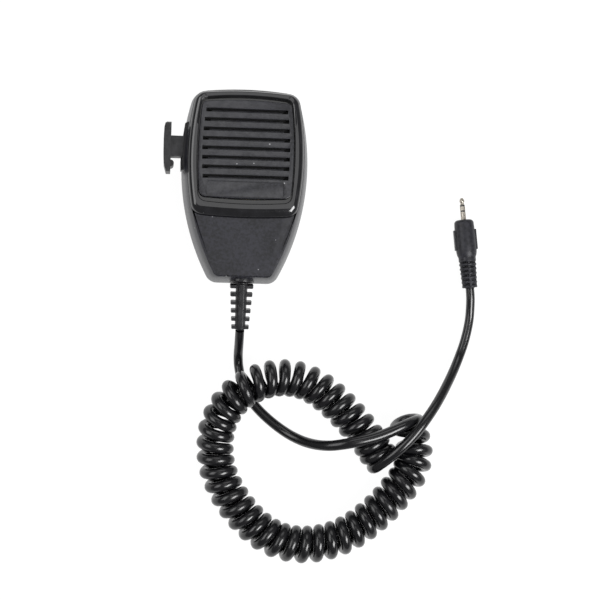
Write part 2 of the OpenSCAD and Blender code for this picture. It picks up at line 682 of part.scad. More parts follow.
module plug_ring() color("silver") on_plug() contact(plug_pin_y + pin_l - 6.35, plug_pin_y + pin_l - 4.2);

module plug_tip() color("silver") on_plug() {
    y = plug_pin_y + pin_l;
    r = pin_d / 2;
    difference() {
        turned([[0, y - 3.6], [r - 0.05, y - 3.6], [r - 0.45, y - 2.7], [r - 0.05, y - 1.7],
                [r - 0.4, y - 0.5], [r - 0.9, y], [0, y]]);
        turned([[0, y - 3.7], [0.85, y - 3.7], [0.85, y - 3.35], [0, y - 3.35]]);
    }
}

front_cover();
rear_cover();
grille_bezel();
grille_panel();
dust_cloth();
capsule_boot();
mic_capsule();
capsule_wires();
circuit_board();
board_screws();
capacitors();
resistors();
amplifier_chip();
trimmer_base();
trimmer_rotor();
wire_header();
cord_wires();
ptt_key();
ptt_guide();
ptt_spring();
ptt_switch();
switch_plunger();
switch_terminals();
hang_button();
hang_screw();
hang_washer();
cover_screws();
thread_inserts();
cord_clamp();
clamp_screws();
strain_relief();
cord_end();
cord_lead();
cord_coil();
cord_plug_lead();
plug_body();
plug_core();
plug_sleeve();
plug_ring();
plug_tip();
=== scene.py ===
import bmesh
import bpy
import math
from mathutils import Matrix, Vector


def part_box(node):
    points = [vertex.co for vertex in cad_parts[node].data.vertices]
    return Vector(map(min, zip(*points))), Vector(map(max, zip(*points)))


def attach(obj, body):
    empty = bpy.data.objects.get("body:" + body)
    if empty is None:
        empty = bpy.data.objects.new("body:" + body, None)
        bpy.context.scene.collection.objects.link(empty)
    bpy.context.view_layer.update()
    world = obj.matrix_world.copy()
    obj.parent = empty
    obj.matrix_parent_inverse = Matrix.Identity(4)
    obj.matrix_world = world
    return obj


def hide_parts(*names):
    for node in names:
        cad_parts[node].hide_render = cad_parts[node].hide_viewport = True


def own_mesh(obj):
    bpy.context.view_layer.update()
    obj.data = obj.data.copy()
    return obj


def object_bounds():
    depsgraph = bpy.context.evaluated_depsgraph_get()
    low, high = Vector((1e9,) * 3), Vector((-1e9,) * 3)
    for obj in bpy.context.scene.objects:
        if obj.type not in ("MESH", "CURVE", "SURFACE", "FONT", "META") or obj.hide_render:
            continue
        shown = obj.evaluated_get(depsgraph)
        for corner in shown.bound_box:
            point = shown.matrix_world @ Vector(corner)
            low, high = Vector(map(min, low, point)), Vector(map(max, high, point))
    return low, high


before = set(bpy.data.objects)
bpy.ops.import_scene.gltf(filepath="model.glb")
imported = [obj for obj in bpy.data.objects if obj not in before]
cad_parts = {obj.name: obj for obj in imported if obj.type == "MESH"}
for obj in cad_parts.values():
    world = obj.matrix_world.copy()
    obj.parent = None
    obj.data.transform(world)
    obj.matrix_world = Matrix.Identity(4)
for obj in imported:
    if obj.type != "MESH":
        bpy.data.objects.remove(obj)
cad_low, cad_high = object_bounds()
MM = 0.001

# ---------------------------------------------------------------------------------------------
# The light table and the studio: opal acrylic lit from below, under large soft lamps, with the
# brightest lamp at the lower right. The camera hangs above the microphone and looks almost straight down.
scene = bpy.context.scene
housing_low, housing_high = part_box("front_cover")
middle = Vector(((housing_low[0] + housing_high[0]) / 2, (housing_low[1] + housing_high[1]) / 2, cad_low[2]))
TABLE_SIZE = 9.0
TABLE_THICKNESS = 0.02
LENS = 100.3
SENSOR = 36.0
CAMERA_FROM_MIDDLE = Vector((-0.0391, -0.0917, 0.827))
AIM_FROM_MIDDLE = Vector((0.0301, -0.0535, 0.0))
CAMERA_ROLL = 0.025
WHITE = (1.0, 1.0, 1.0, 1.0)
TABLE_GLOW = 0.96
STUDIO_GLOW = 0.2
# Each lamp: its offset from the middle, its width and height in metres, and its power in watts
LAMPS = {"key_lamp": ((0.52, -0.42, 0.85), (0.6, 0.45), 11.0),
         "left_lamp": ((-0.75, 0.1, 0.8), (0.9, 0.6), 4.5),
         "top_lamp": ((0.1, 0.85, 0.8), (0.9, 0.5), 2.0),
         "overhead_lamp": ((0.05, 0.12, 1.3), (0.4, 0.4), 0.55)}


def new_piece(name, mesh, material=None):
    """A mesh as a piece of the scene, lying where its points are."""
    piece = bpy.data.objects.new(name, mesh)
    scene.collection.objects.link(piece)
    if material is not None:
        mesh.materials.append(material)
    return piece


class Finish:
    """A material under construction: its Principled shader, its Object coordinates and its nodes."""

    def __init__(self, name, colour, roughness, **sockets):
        self.slot = name
        self.material = bpy.data.materials.new(name)
        self.material.use_nodes = True
        self.nodes = self.material.node_tree.nodes
        self.links = self.material.node_tree.links
        self.shader = self.nodes["Principled BSDF"]
        self.shader.inputs["Base Color"].default_value = (*colour, 1.0)
        self.shader.inputs["Roughness"].default_value = roughness
        for socket, value in sockets.items():
            self.shader.inputs[socket.replace("_", " ")].default_value = value
        self.place = self.nodes.new("ShaderNodeTexCoord").outputs["Object"]

    def add(self, kind, **settings):
        node = self.nodes.new(kind)
        for setting, value in settings.items():
            setattr(node, setting, value)
        return node

    def noise(self, scale, detail=3.0, roughness=0.5, distortion=0.0, stretch=None):
        source = self.place
        if stretch is not None:
            turn = self.add("ShaderNodeMapping")
            turn.inputs["Scale"].default_value = stretch
            self.links.new(self.place, turn.inputs["Vector"])
            source = turn.outputs["Vector"]
        node = self.add("ShaderNodeTexNoise")
        self.links.new(source, node.inputs["Vector"])
        node.inputs["Scale"].default_value = scale
        node.inputs["Detail"].default_value = detail
        node.inputs["Roughness"].default_value = roughness
        node.inputs["Distortion"].default_value = distortion
        return node.outputs["Fac"]

    def spread(self, value, low, high, out_low, out_high):
        node = self.add("ShaderNodeMapRange")
        self.links.new(value, node.inputs["Value"])
        limits = {"From Min": low, "From Max": high, "To Min": out_low, "To Max": out_high}
        for socket, number in limits.items():
            node.inputs[socket].default_value = number
        return node.outputs["Result"]

    def blend(self, mask, first, second):
        node = self.add("ShaderNodeMix", data_type="RGBA")
        self.links.new(mask, node.inputs["Factor"])
        for socket, colour in zip(("A", "B"), (first, second)):
            target = [s for s in node.inputs if s.name == socket and s.type == "RGBA"][0]
            if isinstance(colour, bpy.types.NodeSocket):
                self.links.new(colour, target)
            else:
                target.default_value = (*colour, 1.0)
        return [s for s in node.outputs if s.type == "RGBA"][0]

    def feed(self, socket, value):
        self.links.new(value, self.shader.inputs[socket])

    def bump(self, height, strength, distance):
        node = self.add("ShaderNodeBump")
        node.inputs["Strength"].default_value = strength
        node.inputs["Distance"].default_value = distance
        self.links.new(height, node.inputs["Height"])
        below = self.shader.inputs["Normal"].links
        if below:
            self.links.new(below[0].from_socket, node.inputs["Normal"])
        self.links.new(node.outputs["Normal"], self.shader.inputs["Normal"])


opal_acrylic = Finish("opal_acrylic", (0.06, 0.06, 0.06), 0.7, Emission_Color=WHITE,
                      Emission_Strength=TABLE_GLOW)
opal_acrylic.feed("Roughness", opal_acrylic.spread(opal_acrylic.noise(40.0), 0.3, 0.7, 0.62, 0.75))
opal_acrylic.bump(opal_acrylic.noise(900.0), 0.04, 0.0001)

table_mesh = bpy.data.meshes.new("table")
build = bmesh.new()
bmesh.ops.create_cube(build, size=1.0)
bmesh.ops.scale(build, vec=(TABLE_SIZE, TABLE_SIZE, TABLE_THICKNESS), verts=build.verts)
bmesh.ops.translate(build, vec=(middle.x, middle.y, cad_low[2] - TABLE_THICKNESS / 2), verts=build.verts)
build.to_mesh(table_mesh)
build.free()
table = new_piece("table", table_mesh, opal_acrylic.material)


def lamp(name, offset, size, power):
    """Soft rectangular lamp that faces the middle of the object."""
    light = bpy.data.lights.new(name, "AREA")
    light.shape = "RECTANGLE"
    light.size, light.size_y = size
    light.energy = power
    holder = bpy.data.objects.new(name, light)
    scene.collection.objects.link(holder)
    holder.location = middle + Vector(offset)
    holder.rotation_euler = (-Vector(offset)).to_track_quat("-Z", "Y").to_euler()


for name, (offset, size, power) in LAMPS.items():
    lamp(name, offset, size, power)

studio = bpy.data.worlds.new("studio")
studio.use_nodes = True
studio.node_tree.nodes["Background"].inputs["Color"].default_value = WHITE
studio.node_tree.nodes["Background"].inputs["Strength"].default_value = STUDIO_GLOW
scene.world = studio
scene.view_settings.view_transform = "Standard"

camera_data = bpy.data.cameras.new("camera")
camera_data.sensor_width = SENSOR
camera_data.lens = LENS
camera_data.clip_end = 20.0
camera = bpy.data.objects.new("camera", camera_data)
scene.collection.objects.link(camera)
stand = middle + CAMERA_FROM_MIDDLE
looking = (middle + AIM_FROM_MIDDLE - stand).normalized()
across = looking.cross(Vector((0.0, 1.0, 0.0))).normalized()
up = across.cross(looking)
right = across * math.cos(CAMERA_ROLL) + up * math.sin(CAMERA_ROLL)
above = up * math.cos(CAMERA_ROLL) - across * math.sin(CAMERA_ROLL)
camera.matrix_world = Matrix.Translation(stand) @ Matrix((right, above, -looking)).transposed().to_4x4()
scene.camera = camera

# ---------------------------------------------------------------------------------------------
# The cord: one continuous length of round four-core cord with a black polyurethane jacket. It
# leaves the strain relief, runs under the coiled stretch, which was wound and set on a mandrel,
# comes up over it, and after the last turn lies over the first ones on its way to the plug.
CORD_D = 4.6 * MM
COIL_OUTER = 18.4 * MM
STEPS_A_TURN = 32
EVENING_PASSES = 16
JOINT_PASSES = 3
JOINT_REACH = 5
TURN_END_LEFT = 3
LEAD_ROUTE = [
    (0, -69.8, 13.6), (0, -73.5, 11), (0, -77.5, 7.5), (0, -81.5, 4), (0.3, -86, 2.4), (1, -90, 2.4),
    (2.2, -95, 2.4), (4.4, -100, 2.4), (7.5, -104.6, 2.4), (11.5, -109, 2.4), (16.2, -113.2, 2.4),
    (21.5, -117.2, 2.5), (27, -120.6, 4.5), (33, -123.2, 8.5), (39, -124.5, 14), (45, -124.6, 19),
    (51.5, -123.6, 22), (58, -122.2, 23), (64.5, -120.6, 22.9), (70.5, -118.6, 22.6), (76.5, -116, 22.2),
    (81.5, -113.7, 20.9), (86, -112, 17.9), (89.3, -111.2, 14.5)]
COIL_ROUTE = [
    (84, -113.5, 9.4), (86.2, -120, 9.4), (87.6, -126.5, 9.4), (87, -133, 9.4), (84.2, -139.6, 9.4),
    (79.5, -146, 9.4), (73.2, -153.5, 9.4), (66, -160.2, 9.4), (58.2, -166, 9.4), (49.5, -170.3, 9.4),
    (40, -172.8, 9.4), (30.5, -173.2, 9.4), (21, -171.2, 9.4), (12.5, -166.6, 9.4), (5, -160, 9.4),
    (-1.3, -152.2, 9.4), (-6.4, -143.5, 9.4), (-9.6, -134.2, 9.6), (-10.4, -125, 10.2), (-9.4, -116.2, 11.6),
    (-6, -108.2, 13.4), (-0.8, -101.5, 14.5), (6, -96.6, 14.5), (13.5, -93.6, 13.2), (21.6, -92.3, 11.4),
    (30, -93.2, 10), (38, -96.4, 9.4), (45.5, -101.6, 9.4), (52.8, -108.2, 9.4), (59.2, -115, 9.4),
    (64.5, -121.4, 9.4), (68.5, -127, 9.4), (72.1, -132.1, 9.4)]
PLUG_ROUTE = [
    (67.4, -135.4, 13.2), (70.4, -133, 16.8), (74, -129.8, 19.6), (78.4, -125.9, 21.6), (83, -121.2, 22.6),
    (87.4, -116, 22.6), (91.6, -110.4, 21.4), (96, -104.4, 18.4), (100.2, -98.2, 14), (104, -92, 9.4),
    (107.4, -85.8, 5.5), (110.2, -79.6, 3), (112.4, -73.4, 2.4), (114, -67, 2.4), (115, -61, 2.5),
    (115.2, -55.5, 3.4), (115, -50.3, 4.7), (114.5, -45.5, 5.3)]


def through(points, steps):
    """Smooth line through given points, with that many steps between each two."""
    line = []
    for k in range(len(points) - 1):
        before, here, there, after = (points[min(max(k + j, 0), len(points) - 1)] for j in (-1, 0, 1, 2))
        for j in range(steps):
            t = j / steps
            line.append(0.5 * (2 * here + (there - before) * t
                               + (2 * before - 5 * here + 4 * there - after) * t * t
                               + (3 * here - before - 3 * there + after) * t ** 3))
    line.append(points[-1])
    return line


def lengths_along(line):
    total = [0.0]
    for a, b in zip(line, line[1:]):
        total.append(total[-1] + (b - a).length)
    return total


lead_line = through([Vector(p) * MM for p in LEAD_ROUTE], 4)
coil_line = through([Vector(p) * MM for p in COIL_ROUTE], 24)
coil_along = lengths_along(coil_line)
coil_length = coil_along[-1]
# How far along the coiled stretch each turn stands: wide at its two ends, and evenly spaced between
TURN_COUNT = 43.5
TURN_REACH = [(0, 0), (0.25, -2.4), (0.5, 0.2), (1, 8.3), (2, 13.9), (3, 19.5)]
TURN_REACH += [(TURN_COUNT - 2, coil_length / MM - 10.6), (TURN_COUNT - 1, coil_length / MM - 5.8),
               (TURN_COUNT, coil_length / MM)]
# The jacket is drawn thinner beside the strain relief and the plug, and set thicker on the mandrel
LEAD_SWELL, TURN_SWELL, PLUG_SWELL = 0.96, 1.15, 0.93


def reach_at(turn):
    for (low, low_reach), (high, high_reach) in zip(TURN_REACH, TURN_REACH[1:]):
        if turn <= high:
            return (low_reach + (high_reach - low_reach) * (turn - low) / (high - low)) * MM
    return coil_length


wind_radius = (COIL_OUTER - TURN_SWELL * CORD_D) / 2
steps = int(TURN_COUNT * STEPS_A_TURN)
reaches = [reach_at(TURN_COUNT * k / steps) for k in range(steps + 1)]
for _ in range(EVENING_PASSES):
    evened = [(a + 2 * b + c) / 4 for a, b, c in zip(reaches, reaches[1:], reaches[2:])]
    reaches = [reaches[0]] + evened + [reaches[-1]]
turns_line = []
segment = 0
for k, reach in enumerate(reaches):
    while segment < len(coil_line) - 2 and coil_along[segment + 1] < reach:
        segment += 1
    part = (reach - coil_along[segment]) / (coil_along[segment + 1] - coil_along[segment])
    centre = coil_line[segment].lerp(coil_line[segment + 1], part)
    ahead = (coil_line[min(segment + 8, len(coil_line) - 1)] - coil_line[max(segment - 8, 0)]).normalized()
    outward = Vector((0.0, 0.0, 1.0)).cross(ahead).normalized()
    rise = ahead.cross(outward)
    angle = -2 * math.pi * TURN_COUNT * k / steps
    turns_line.append(centre + wind_radius * (math.cos(angle) * outward + math.sin(angle) * rise))
plug_line = through([turns_line[-TURN_END_LEFT]] + [Vector(p) * MM for p in PLUG_ROUTE], 5)
cord_points = lead_line[:-1] + turns_line[:-TURN_END_LEFT] + plug_line
joints = (len(lead_line) - 1, len(lead_line) + len(turns_line) - TURN_END_LEFT - 1)
for _ in range(JOINT_PASSES):
    for joint in joints:
        for k in range(joint - JOINT_REACH, joint + JOINT_REACH + 1):
            cord_points[k] = (cord_points[k - 1] + 2 * cord_points[k] + cord_points[k + 1]) / 4
cord_along = lengths_along(cord_points)
CORD_LENGTH = cord_along[-1]
into_coil = cord_along[len(lead_line)]
out_of_coil = cord_along[len(cord_points) - len(plug_line)]

jacket = Finish("cord_jacket", (0.004, 0.004, 0.005), 0.2, Specular_IOR_Level=0.6)
jacket.feed("Roughness", jacket.spread(jacket.noise(90.0), 0.3, 0.7, 0.18, 0.28))
jacket.bump(jacket.noise(1400.0), 0.03, 0.00003)

cord_curve = bpy.data.curves.new("curly_cord", "CURVE")
cord_curve.dimensions = "3D"
cord_curve.bevel_depth = CORD_D / 2
cord_curve.bevel_resolution = 6
cord_curve.use_fill_caps = True
cord_curve.resolution_u = 1
run = cord_curve.splines.new("POLY")
run.points.add(len(cord_points) - 1)
for point, place, along in zip(run.points, cord_points, cord_along):
    point.co = (*place, 1.0)
    if along < into_coil:
        point.radius = LEAD_SWELL + (TURN_SWELL - LEAD_SWELL) * min(1.0, 1.4 * along / into_coil)
    elif along < out_of_coil:
        point.radius = TURN_SWELL
    else:
        past_coil = (along - out_of_coil) / (CORD_LENGTH - out_of_coil)
        point.radius = TURN_SWELL + (PLUG_SWELL - TURN_SWELL) * past_coil
cord_curve.materials.append(jacket.material)
curly_cord = bpy.data.objects.new("curly_cord", cord_curve)
scene.collection.objects.link(curly_cord)
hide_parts("cord_lead", "cord_coil", "cord_plug_lead")
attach(curly_cord, "housing")

# ---------------------------------------------------------------------------------------------
# Rear cover: injection-moulded black ABS with a fine spark-eroded skin, 2.2 mm thick. Its sides are
# barrel-shaped arcs and it curves in to a flat back with an empty label field. Four bosses take the
# cover screws, and a raised pad with a hole takes the hang-up button.
BODY_W = 61.4 * MM
BODY_H = 94 * MM
BODY_SIDE = (10 * MM, 115 * MM)
CROWN = 1 * MM
BODY_TOP_R = 8 * MM
BODY_BOTTOM_R = 6 * MM
LEAST_R = 1.5 * MM
EDGE_STEPS, CORNER_STEPS, SIDE_STEPS = 12, 9, 30
BACK_LABEL = ((-13, -26, 4.5), (13, -13, 5.9))
COVER_SCREW_AT = ((21.5, 37), (-21.5, 37), (13, -38), (-13, -38))
KEY_WINDOW = ((-60, 6.9, 11.4), (-20, 30.1, 23.6))
RELIEF_SEAT = ((-5.8, -60, 15.2), (5.8, -41, 21))
COUNTERBORE = (2.9, 8.4)
BUTTON_BORE = (2.45, 12)
MOULDED_EDGE = 0.22 * MM
SHARP = math.radians(32)


def arc(middle_at, radius, start, end, steps):
    return [(middle_at[0] + radius * math.cos(start + (end - start) * k / steps),
             middle_at[1] + radius * math.sin(start + (end - start) * k / steps)) for k in range(steps + 1)]


def barrel(width, side, inset, top, bottom, top_r, bottom_r, sag=0.0):
    """Outline with barrel sides, counterclockwise from the middle of its bottom edge."""
    centre = width / 2 - side[1]
    radius = side[1] - inset
    top_y = top - CROWN - top_r
    low_y = bottom + sag + bottom_r
    top_turn = math.asin((top_y - side[0]) / (radius - top_r))
    low_turn = math.asin((low_y - side[0]) / (radius - bottom_r))
    top_at = (centre + (radius - top_r) * math.cos(top_turn), top_y)
    low_at = (centre + (radius - bottom_r) * math.cos(low_turn), low_y)
    half = [(low_at[0] * (1 - k / EDGE_STEPS), bottom + sag * (1 - k / EDGE_STEPS) ** 2)
            for k in range(EDGE_STEPS - 1, 0, -1)]
    half += arc(low_at, bottom_r, -math.pi / 2, low_turn, CORNER_STEPS)
    half += arc((centre, side[0]), radius, low_turn, top_turn, SIDE_STEPS)[1:-1]
    half += arc(top_at, top_r, top_turn, math.pi / 2, CORNER_STEPS)
    half += [(top_at[0] * (1 - k / EDGE_STEPS), top - CROWN * (1 - k / EDGE_STEPS) ** 2)
             for k in range(1, EDGE_STEPS)]
    return [(0.0, bottom)] + half + [(0.0, top)] + [(-x, y) for x, y in reversed(half)]


def cover_ring(z, side, top, bottom):
    """A cover's outline at height z, inset at its sides, top and bottom, all in millimetres."""
    side, top, bottom = side * MM, top * MM, bottom * MM
    top_r = max(LEAST_R, BODY_TOP_R - (side + top) / 2)
    bottom_r = max(LEAST_R, BODY_BOTTOM_R - (side + bottom) / 2)
    flat = barrel(BODY_W, BODY_SIDE, side, BODY_H / 2 - top, -BODY_H / 2 + bottom, top_r, bottom_r)
    return [(x, y, z * MM) for x, y in flat]


def faired(rows, steps):
    """Extra rows between the given ones, so that a side runs smoothly from one to the next."""
    return [tuple(row) for row in through([Vector(row) for row in rows], steps)]


def loft(name, rings, ring_shaped=False):
    """Mesh through a stack of outlines, closed at its ends, or joined round when it is ring-shaped."""
    count = len(rings[0])
    points = [p for ring in rings for p in ring]
    layers = len(rings) if ring_shaped else len(rings) - 1
    faces = [(j * count + k, j * count + (k + 1) % count,
              (j + 1) % len(rings) * count + (k + 1) % count, (j + 1) % len(rings) * count + k)
             for j in range(layers) for k in range(count)]
    if not ring_shaped:
        faces += [tuple(range(count - 1, -1, -1)), tuple(range((len(rings) - 1) * count, len(rings) * count))]
    mesh = bpy.data.meshes.new(name)
    mesh.from_pydata(points, [], faces)
    build = bmesh.new()
    build.from_mesh(mesh)
    bmesh.ops.remove_doubles(build, verts=build.verts, dist=1e-7)
    bmesh.ops.recalc_face_normals(build, faces=build.faces)
    build.to_mesh(mesh)
    build.free()
    return mesh


def paint(piece, material):
    """Gives a piece one material all over."""
    piece.data.materials.clear()
    piece.data.materials.append(material)
    for face in piece.data.polygons:
        face.material_index = 0


def cut(piece, *tools):
    """Takes the tools' shapes out of the piece."""
    material = piece.data.materials[0] if piece.data.materials else None
    for tool in tools:
        taking = piece.modifiers.new("cut", "BOOLEAN")
        taking.operation = "DIFFERENCE"
        taking.solver = "EXACT"
        taking.object = tool
    plain(piece)
    paint(piece, material)
    for tool in tools:
        bpy.data.objects.remove(tool)


def plain(piece):
    """Turns the piece with its modifiers into a plain mesh."""
    old = piece.data
    fresh = bpy.data.meshes.new_from_object(piece.evaluated_get(bpy.context.evaluated_depsgraph_get()))
    piece.modifiers.clear()
    piece.data = fresh
    bpy.data.meshes.remove(old)


def block_tool(low, high):
    """A block between two corners in millimetres, for cutting."""
    mesh = bpy.data.meshes.new("block_tool")
    build = bmesh.new()
    bmesh.ops.create_cube(build, size=1.0)
    size = [(b - a) * MM for a, b in zip(low, high)]
    bmesh.ops.scale(build, vec=size, verts=build.verts)
    bmesh.ops.translate(build, vec=[(a + b) / 2 * MM for a, b in zip(low, high)], verts=build.verts)
    build.to_mesh(mesh)
    build.free()
    return new_piece("block_tool", mesh)


def round_mesh(name, profile, segments=64, along=None):
    """Solid of revolution from (radius, height) pairs in millimetres, about Z or carried over by a matrix."""
    build = bmesh.new()
    rows = []
    for radius, height in profile:
        if radius <= 0:
            rows.append([build.verts.new((0, 0, height * MM))])
        else:
            rows.append([build.verts.new((radius * MM * math.cos(2 * math.pi * k / segments),
                                          radius * MM * math.sin(2 * math.pi * k / segments), height * MM))
                         for k in range(segments)])
    for low_row, high_row in zip(rows, rows[1:]):
        for k in range(segments):
            corners = [low_row[k % len(low_row)], low_row[(k + 1) % len(low_row)],
                       high_row[(k + 1) % len(high_row)], high_row[k % len(high_row)]]
            corners = list(dict.fromkeys(corners))
            if len(corners) > 2:
                build.faces.new(corners)
    bmesh.ops.remove_doubles(build, verts=build.verts, dist=1e-7)
    bmesh.ops.recalc_face_normals(build, faces=build.faces)
    if along is not None:
        build.transform(along)
    mesh = bpy.data.meshes.new(name)
    build.to_mesh(mesh)
    build.free()
    return mesh


def joined(name, *parts):
    """One piece from several overlapping solids of the same moulding."""
    build = bmesh.new()
    for part in parts:
        build.from_mesh(part.data)
    mesh = bpy.data.meshes.new(name)
    build.to_mesh(mesh)
    build.free()
    piece = new_piece(name, mesh, parts[0].data.materials[0])
    for part in parts:
        bpy.data.objects.remove(part)
    return piece


def turned(name, profile, segments=64, along=None, finish=None):
    """A piece of revolution from its profile, in its finish if it has one."""
    return new_piece(name, round_mesh(name, profile, segments, along), finish and finish.material)


def bore_tool(radius, depth, segments=48, along=None):
    """A round bar that cuts a hole."""
    return turned("bore_tool", ((0, 0), (radius, 0), (radius, depth), (0, depth)), segments, along)


def fit(piece, node, body="housing"):
    """Puts the piece in its CAD part's place, on the part's body."""
    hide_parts(node)
    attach(piece, body)


def soften(piece, width, segments=2, angle=SHARP):
    """Rounds the sharp edges of a moulding and shades it as one smooth skin."""
    for face in piece.data.polygons:
        face.use_smooth = True
    piece.data.set_sharp_from_angle(angle=angle)
    if width > 0:
        edge = piece.modifiers.new("moulded_edges", "BEVEL")
        edge.width = width
        edge.segments = segments
        edge.limit_method = "ANGLE"
        edge.angle_limit = angle
        edge.use_clamp_overlap = True
    shading = piece.modifiers.new("even_shading", "WEIGHTED_NORMAL")
    shading.keep_sharp = True
    plain(piece)


def shader_group(name, inputs, outputs):
    """An empty shader node group with named sockets, its nodes, and its two ends."""
    group = bpy.data.node_groups.new(name, "ShaderNodeTree")
    for label, value in inputs.items():
        group.interface.new_socket(label, in_out="INPUT", socket_type="NodeSocketFloat").default_value = value
    for label in outputs:
        group.interface.new_socket(label, in_out="OUTPUT", socket_type="NodeSocketFloat")
    return group, group.nodes.new("NodeGroupInput"), group.nodes.new("NodeGroupOutput")


def calc(tree, operation, first, second, clamp=False):
    node = tree.nodes.new("ShaderNodeMath")
    node.operation = operation
    node.use_clamp = clamp
    for socket, value in zip(node.inputs, (first, second)):
        if isinstance(value, bpy.types.NodeSocket):
            tree.links.new(value, socket)
        else:
            socket.default_value = value
    return node.outputs[0]


def product(tree, first, second, clamp=False):
    return calc(tree, "MULTIPLY", first, second, clamp)


# Spark-eroded grain: small rounded pits of two sizes, and a slow mottle over a whole moulding
grain, grain_in, grain_out = shader_group("eroded_grain", {"Grains": 5200.0, "Mottle Size": 60.0},
                                          ("Height", "Mottle"))
grain_place = grain.nodes.new("ShaderNodeTexCoord").outputs["Object"]
pits = grain.nodes.new("ShaderNodeTexVoronoi")
pits.feature = "SMOOTH_F1"
fine = grain.nodes.new("ShaderNodeTexNoise")
slow = grain.nodes.new("ShaderNodeTexNoise")
for texture in (pits, fine, slow):
    grain.links.new(grain_place, texture.inputs["Vector"])
grain.links.new(grain_in.outputs["Grains"], pits.inputs["Scale"])
grain.links.new(product(grain, grain_in.outputs["Grains"], 0.45), fine.inputs["Scale"])
grain.links.new(grain_in.outputs["Mottle Size"], slow.inputs["Scale"])
slow.inputs["Detail"].default_value = 4.0
coarse = grain.nodes.new("ShaderNodeTexNoise")
grain.links.new(grain_place, coarse.inputs["Vector"])
grain.links.new(product(grain, grain_in.outputs["Grains"], 0.2), coarse.inputs["Scale"])
small = calc(grain, "ADD", product(grain, pits.outputs["Distance"], 0.7),
                  product(grain, fine.outputs["Fac"], 0.6))
grain.links.new(calc(grain, "ADD", small, product(grain, coarse.outputs["Fac"], 1.6)),
                grain_out.inputs["Height"])
grain.links.new(calc(grain, "ADD", product(grain, slow.outputs["Fac"], 0.4),
                          product(grain, coarse.outputs["Fac"], 0.6)), grain_out.inputs["Mottle"])

# Handling and painted edge sheen: sharp edges painted lighter, partly as wear from hands and partly as a
# painted highlight along them, and sparse specks of lint and dust on what faces up
handling_and_edge_sheen, handling_in, handling_out = shader_group(
    "handling_and_edge_sheen", {"Edge Wear And Sheen": 0.5, "Lint": 0.5}, ("Worn And Sheen", "Dusty"))
handling_place = handling_and_edge_sheen.nodes.new("ShaderNodeTexCoord").outputs["Object"]
shape = handling_and_edge_sheen.nodes.new("ShaderNodeNewGeometry")
patches = handling_and_edge_sheen.nodes.new("ShaderNodeTexNoise")
patches.inputs["Scale"].default_value = 320.0
patches.inputs["Detail"].default_value = 5.0
specks = handling_and_edge_sheen.nodes.new("ShaderNodeTexVoronoi")
specks.inputs["Scale"].default_value = 260.0
for texture in (patches, specks):
    handling_and_edge_sheen.links.new(handling_place, texture.inputs["Vector"])
# Convex edges painted lighter: edge wear, and a painted highlight along each edge
ridge = product(handling_and_edge_sheen, calc(handling_and_edge_sheen, "SUBTRACT", shape.outputs["Pointiness"], 0.53), 9.0, True)
handling_and_edge_sheen.links.new(product(handling_and_edge_sheen, product(handling_and_edge_sheen, ridge, patches.outputs["Fac"]),
                             handling_in.outputs["Edge Wear And Sheen"], True), handling_out.inputs["Worn And Sheen"])
speck = calc(handling_and_edge_sheen, "LESS_THAN", specks.outputs["Distance"], 0.085)
rare = handling_and_edge_sheen.nodes.new("ShaderNodeSeparateColor")
handling_and_edge_sheen.links.new(specks.outputs["Color"], rare.inputs["Color"])
chosen = calc(handling_and_edge_sheen, "GREATER_THAN", rare.outputs["Red"], 0.84)
facing = handling_and_edge_sheen.nodes.new("ShaderNodeSeparateXYZ")
handling_and_edge_sheen.links.new(shape.outputs["Normal"], facing.inputs["Vector"])
upward = product(handling_and_edge_sheen, facing.outputs["Z"], 1.0, True)
film = product(handling_and_edge_sheen, product(handling_and_edge_sheen, patches.outputs["Fac"], 0.02), upward)
dust = calc(handling_and_edge_sheen, "ADD", product(handling_and_edge_sheen, product(handling_and_edge_sheen, speck, chosen), upward), film)
handling_and_edge_sheen.links.new(product(handling_and_edge_sheen, dust, handling_in.outputs["Lint"], True), handling_out.inputs["Dusty"])

# The grey that sharp edges are painted towards: edge wear and a painted edge highlight
EDGE_WEAR_AND_SHEEN_GREY = (0.075, 0.075, 0.08)
LINT_GREY = (0.34, 0.34, 0.35)


def plastic(name, colour, smoothness, grains, depth, edge_wear_and_sheen=0.5, lint=0.5, mottle=60.0, contrast=1.9,
            **sockets):
    """Moulded plastic or rubber: its colour, its roughness from polished to matte patches, and its grain."""
    finish = Finish(name, colour, smoothness[0], **sockets)
    skin = finish.add("ShaderNodeGroup", node_tree=grain)
    skin.inputs["Grains"].default_value = grains
    skin.inputs["Mottle Size"].default_value = mottle
    use = finish.add("ShaderNodeGroup", node_tree=handling_and_edge_sheen)
    use.inputs["Edge Wear And Sheen"].default_value = edge_wear_and_sheen
    use.inputs["Lint"].default_value = lint
    lighter = tuple(min(1.0, c * contrast + 0.002) for c in colour)
    tone = finish.blend(finish.spread(skin.outputs["Mottle"], 0.4, 0.6, 0.0, 1.0), colour, lighter)
    # Sharp edges painted lighter: partly edge wear, partly a painted highlight
    tone = finish.blend(use.outputs["Worn And Sheen"], tone, tuple(max(c, w) for c, w in zip(colour, EDGE_WEAR_AND_SHEEN_GREY)))
    tone = finish.blend(use.outputs["Dusty"], tone, LINT_GREY)
    finish.feed("Base Color", tone)
    rough = finish.spread(skin.outputs["Mottle"], 0.3, 0.7, *smoothness)
    finish.feed("Roughness", rough)
    finish.bump(skin.outputs["Height"], 0.35, depth)
    return finish


cover_plastic = plastic("cover_plastic", (0.004, 0.004, 0.006), (0.36, 0.44), 4200.0, 0.00007, edge_wear_and_sheen=0.5,
                        lint=0.9, contrast=3.6, Specular_IOR_Level=0.25, Coat_Weight=0.5, Coat_Roughness=0.26)

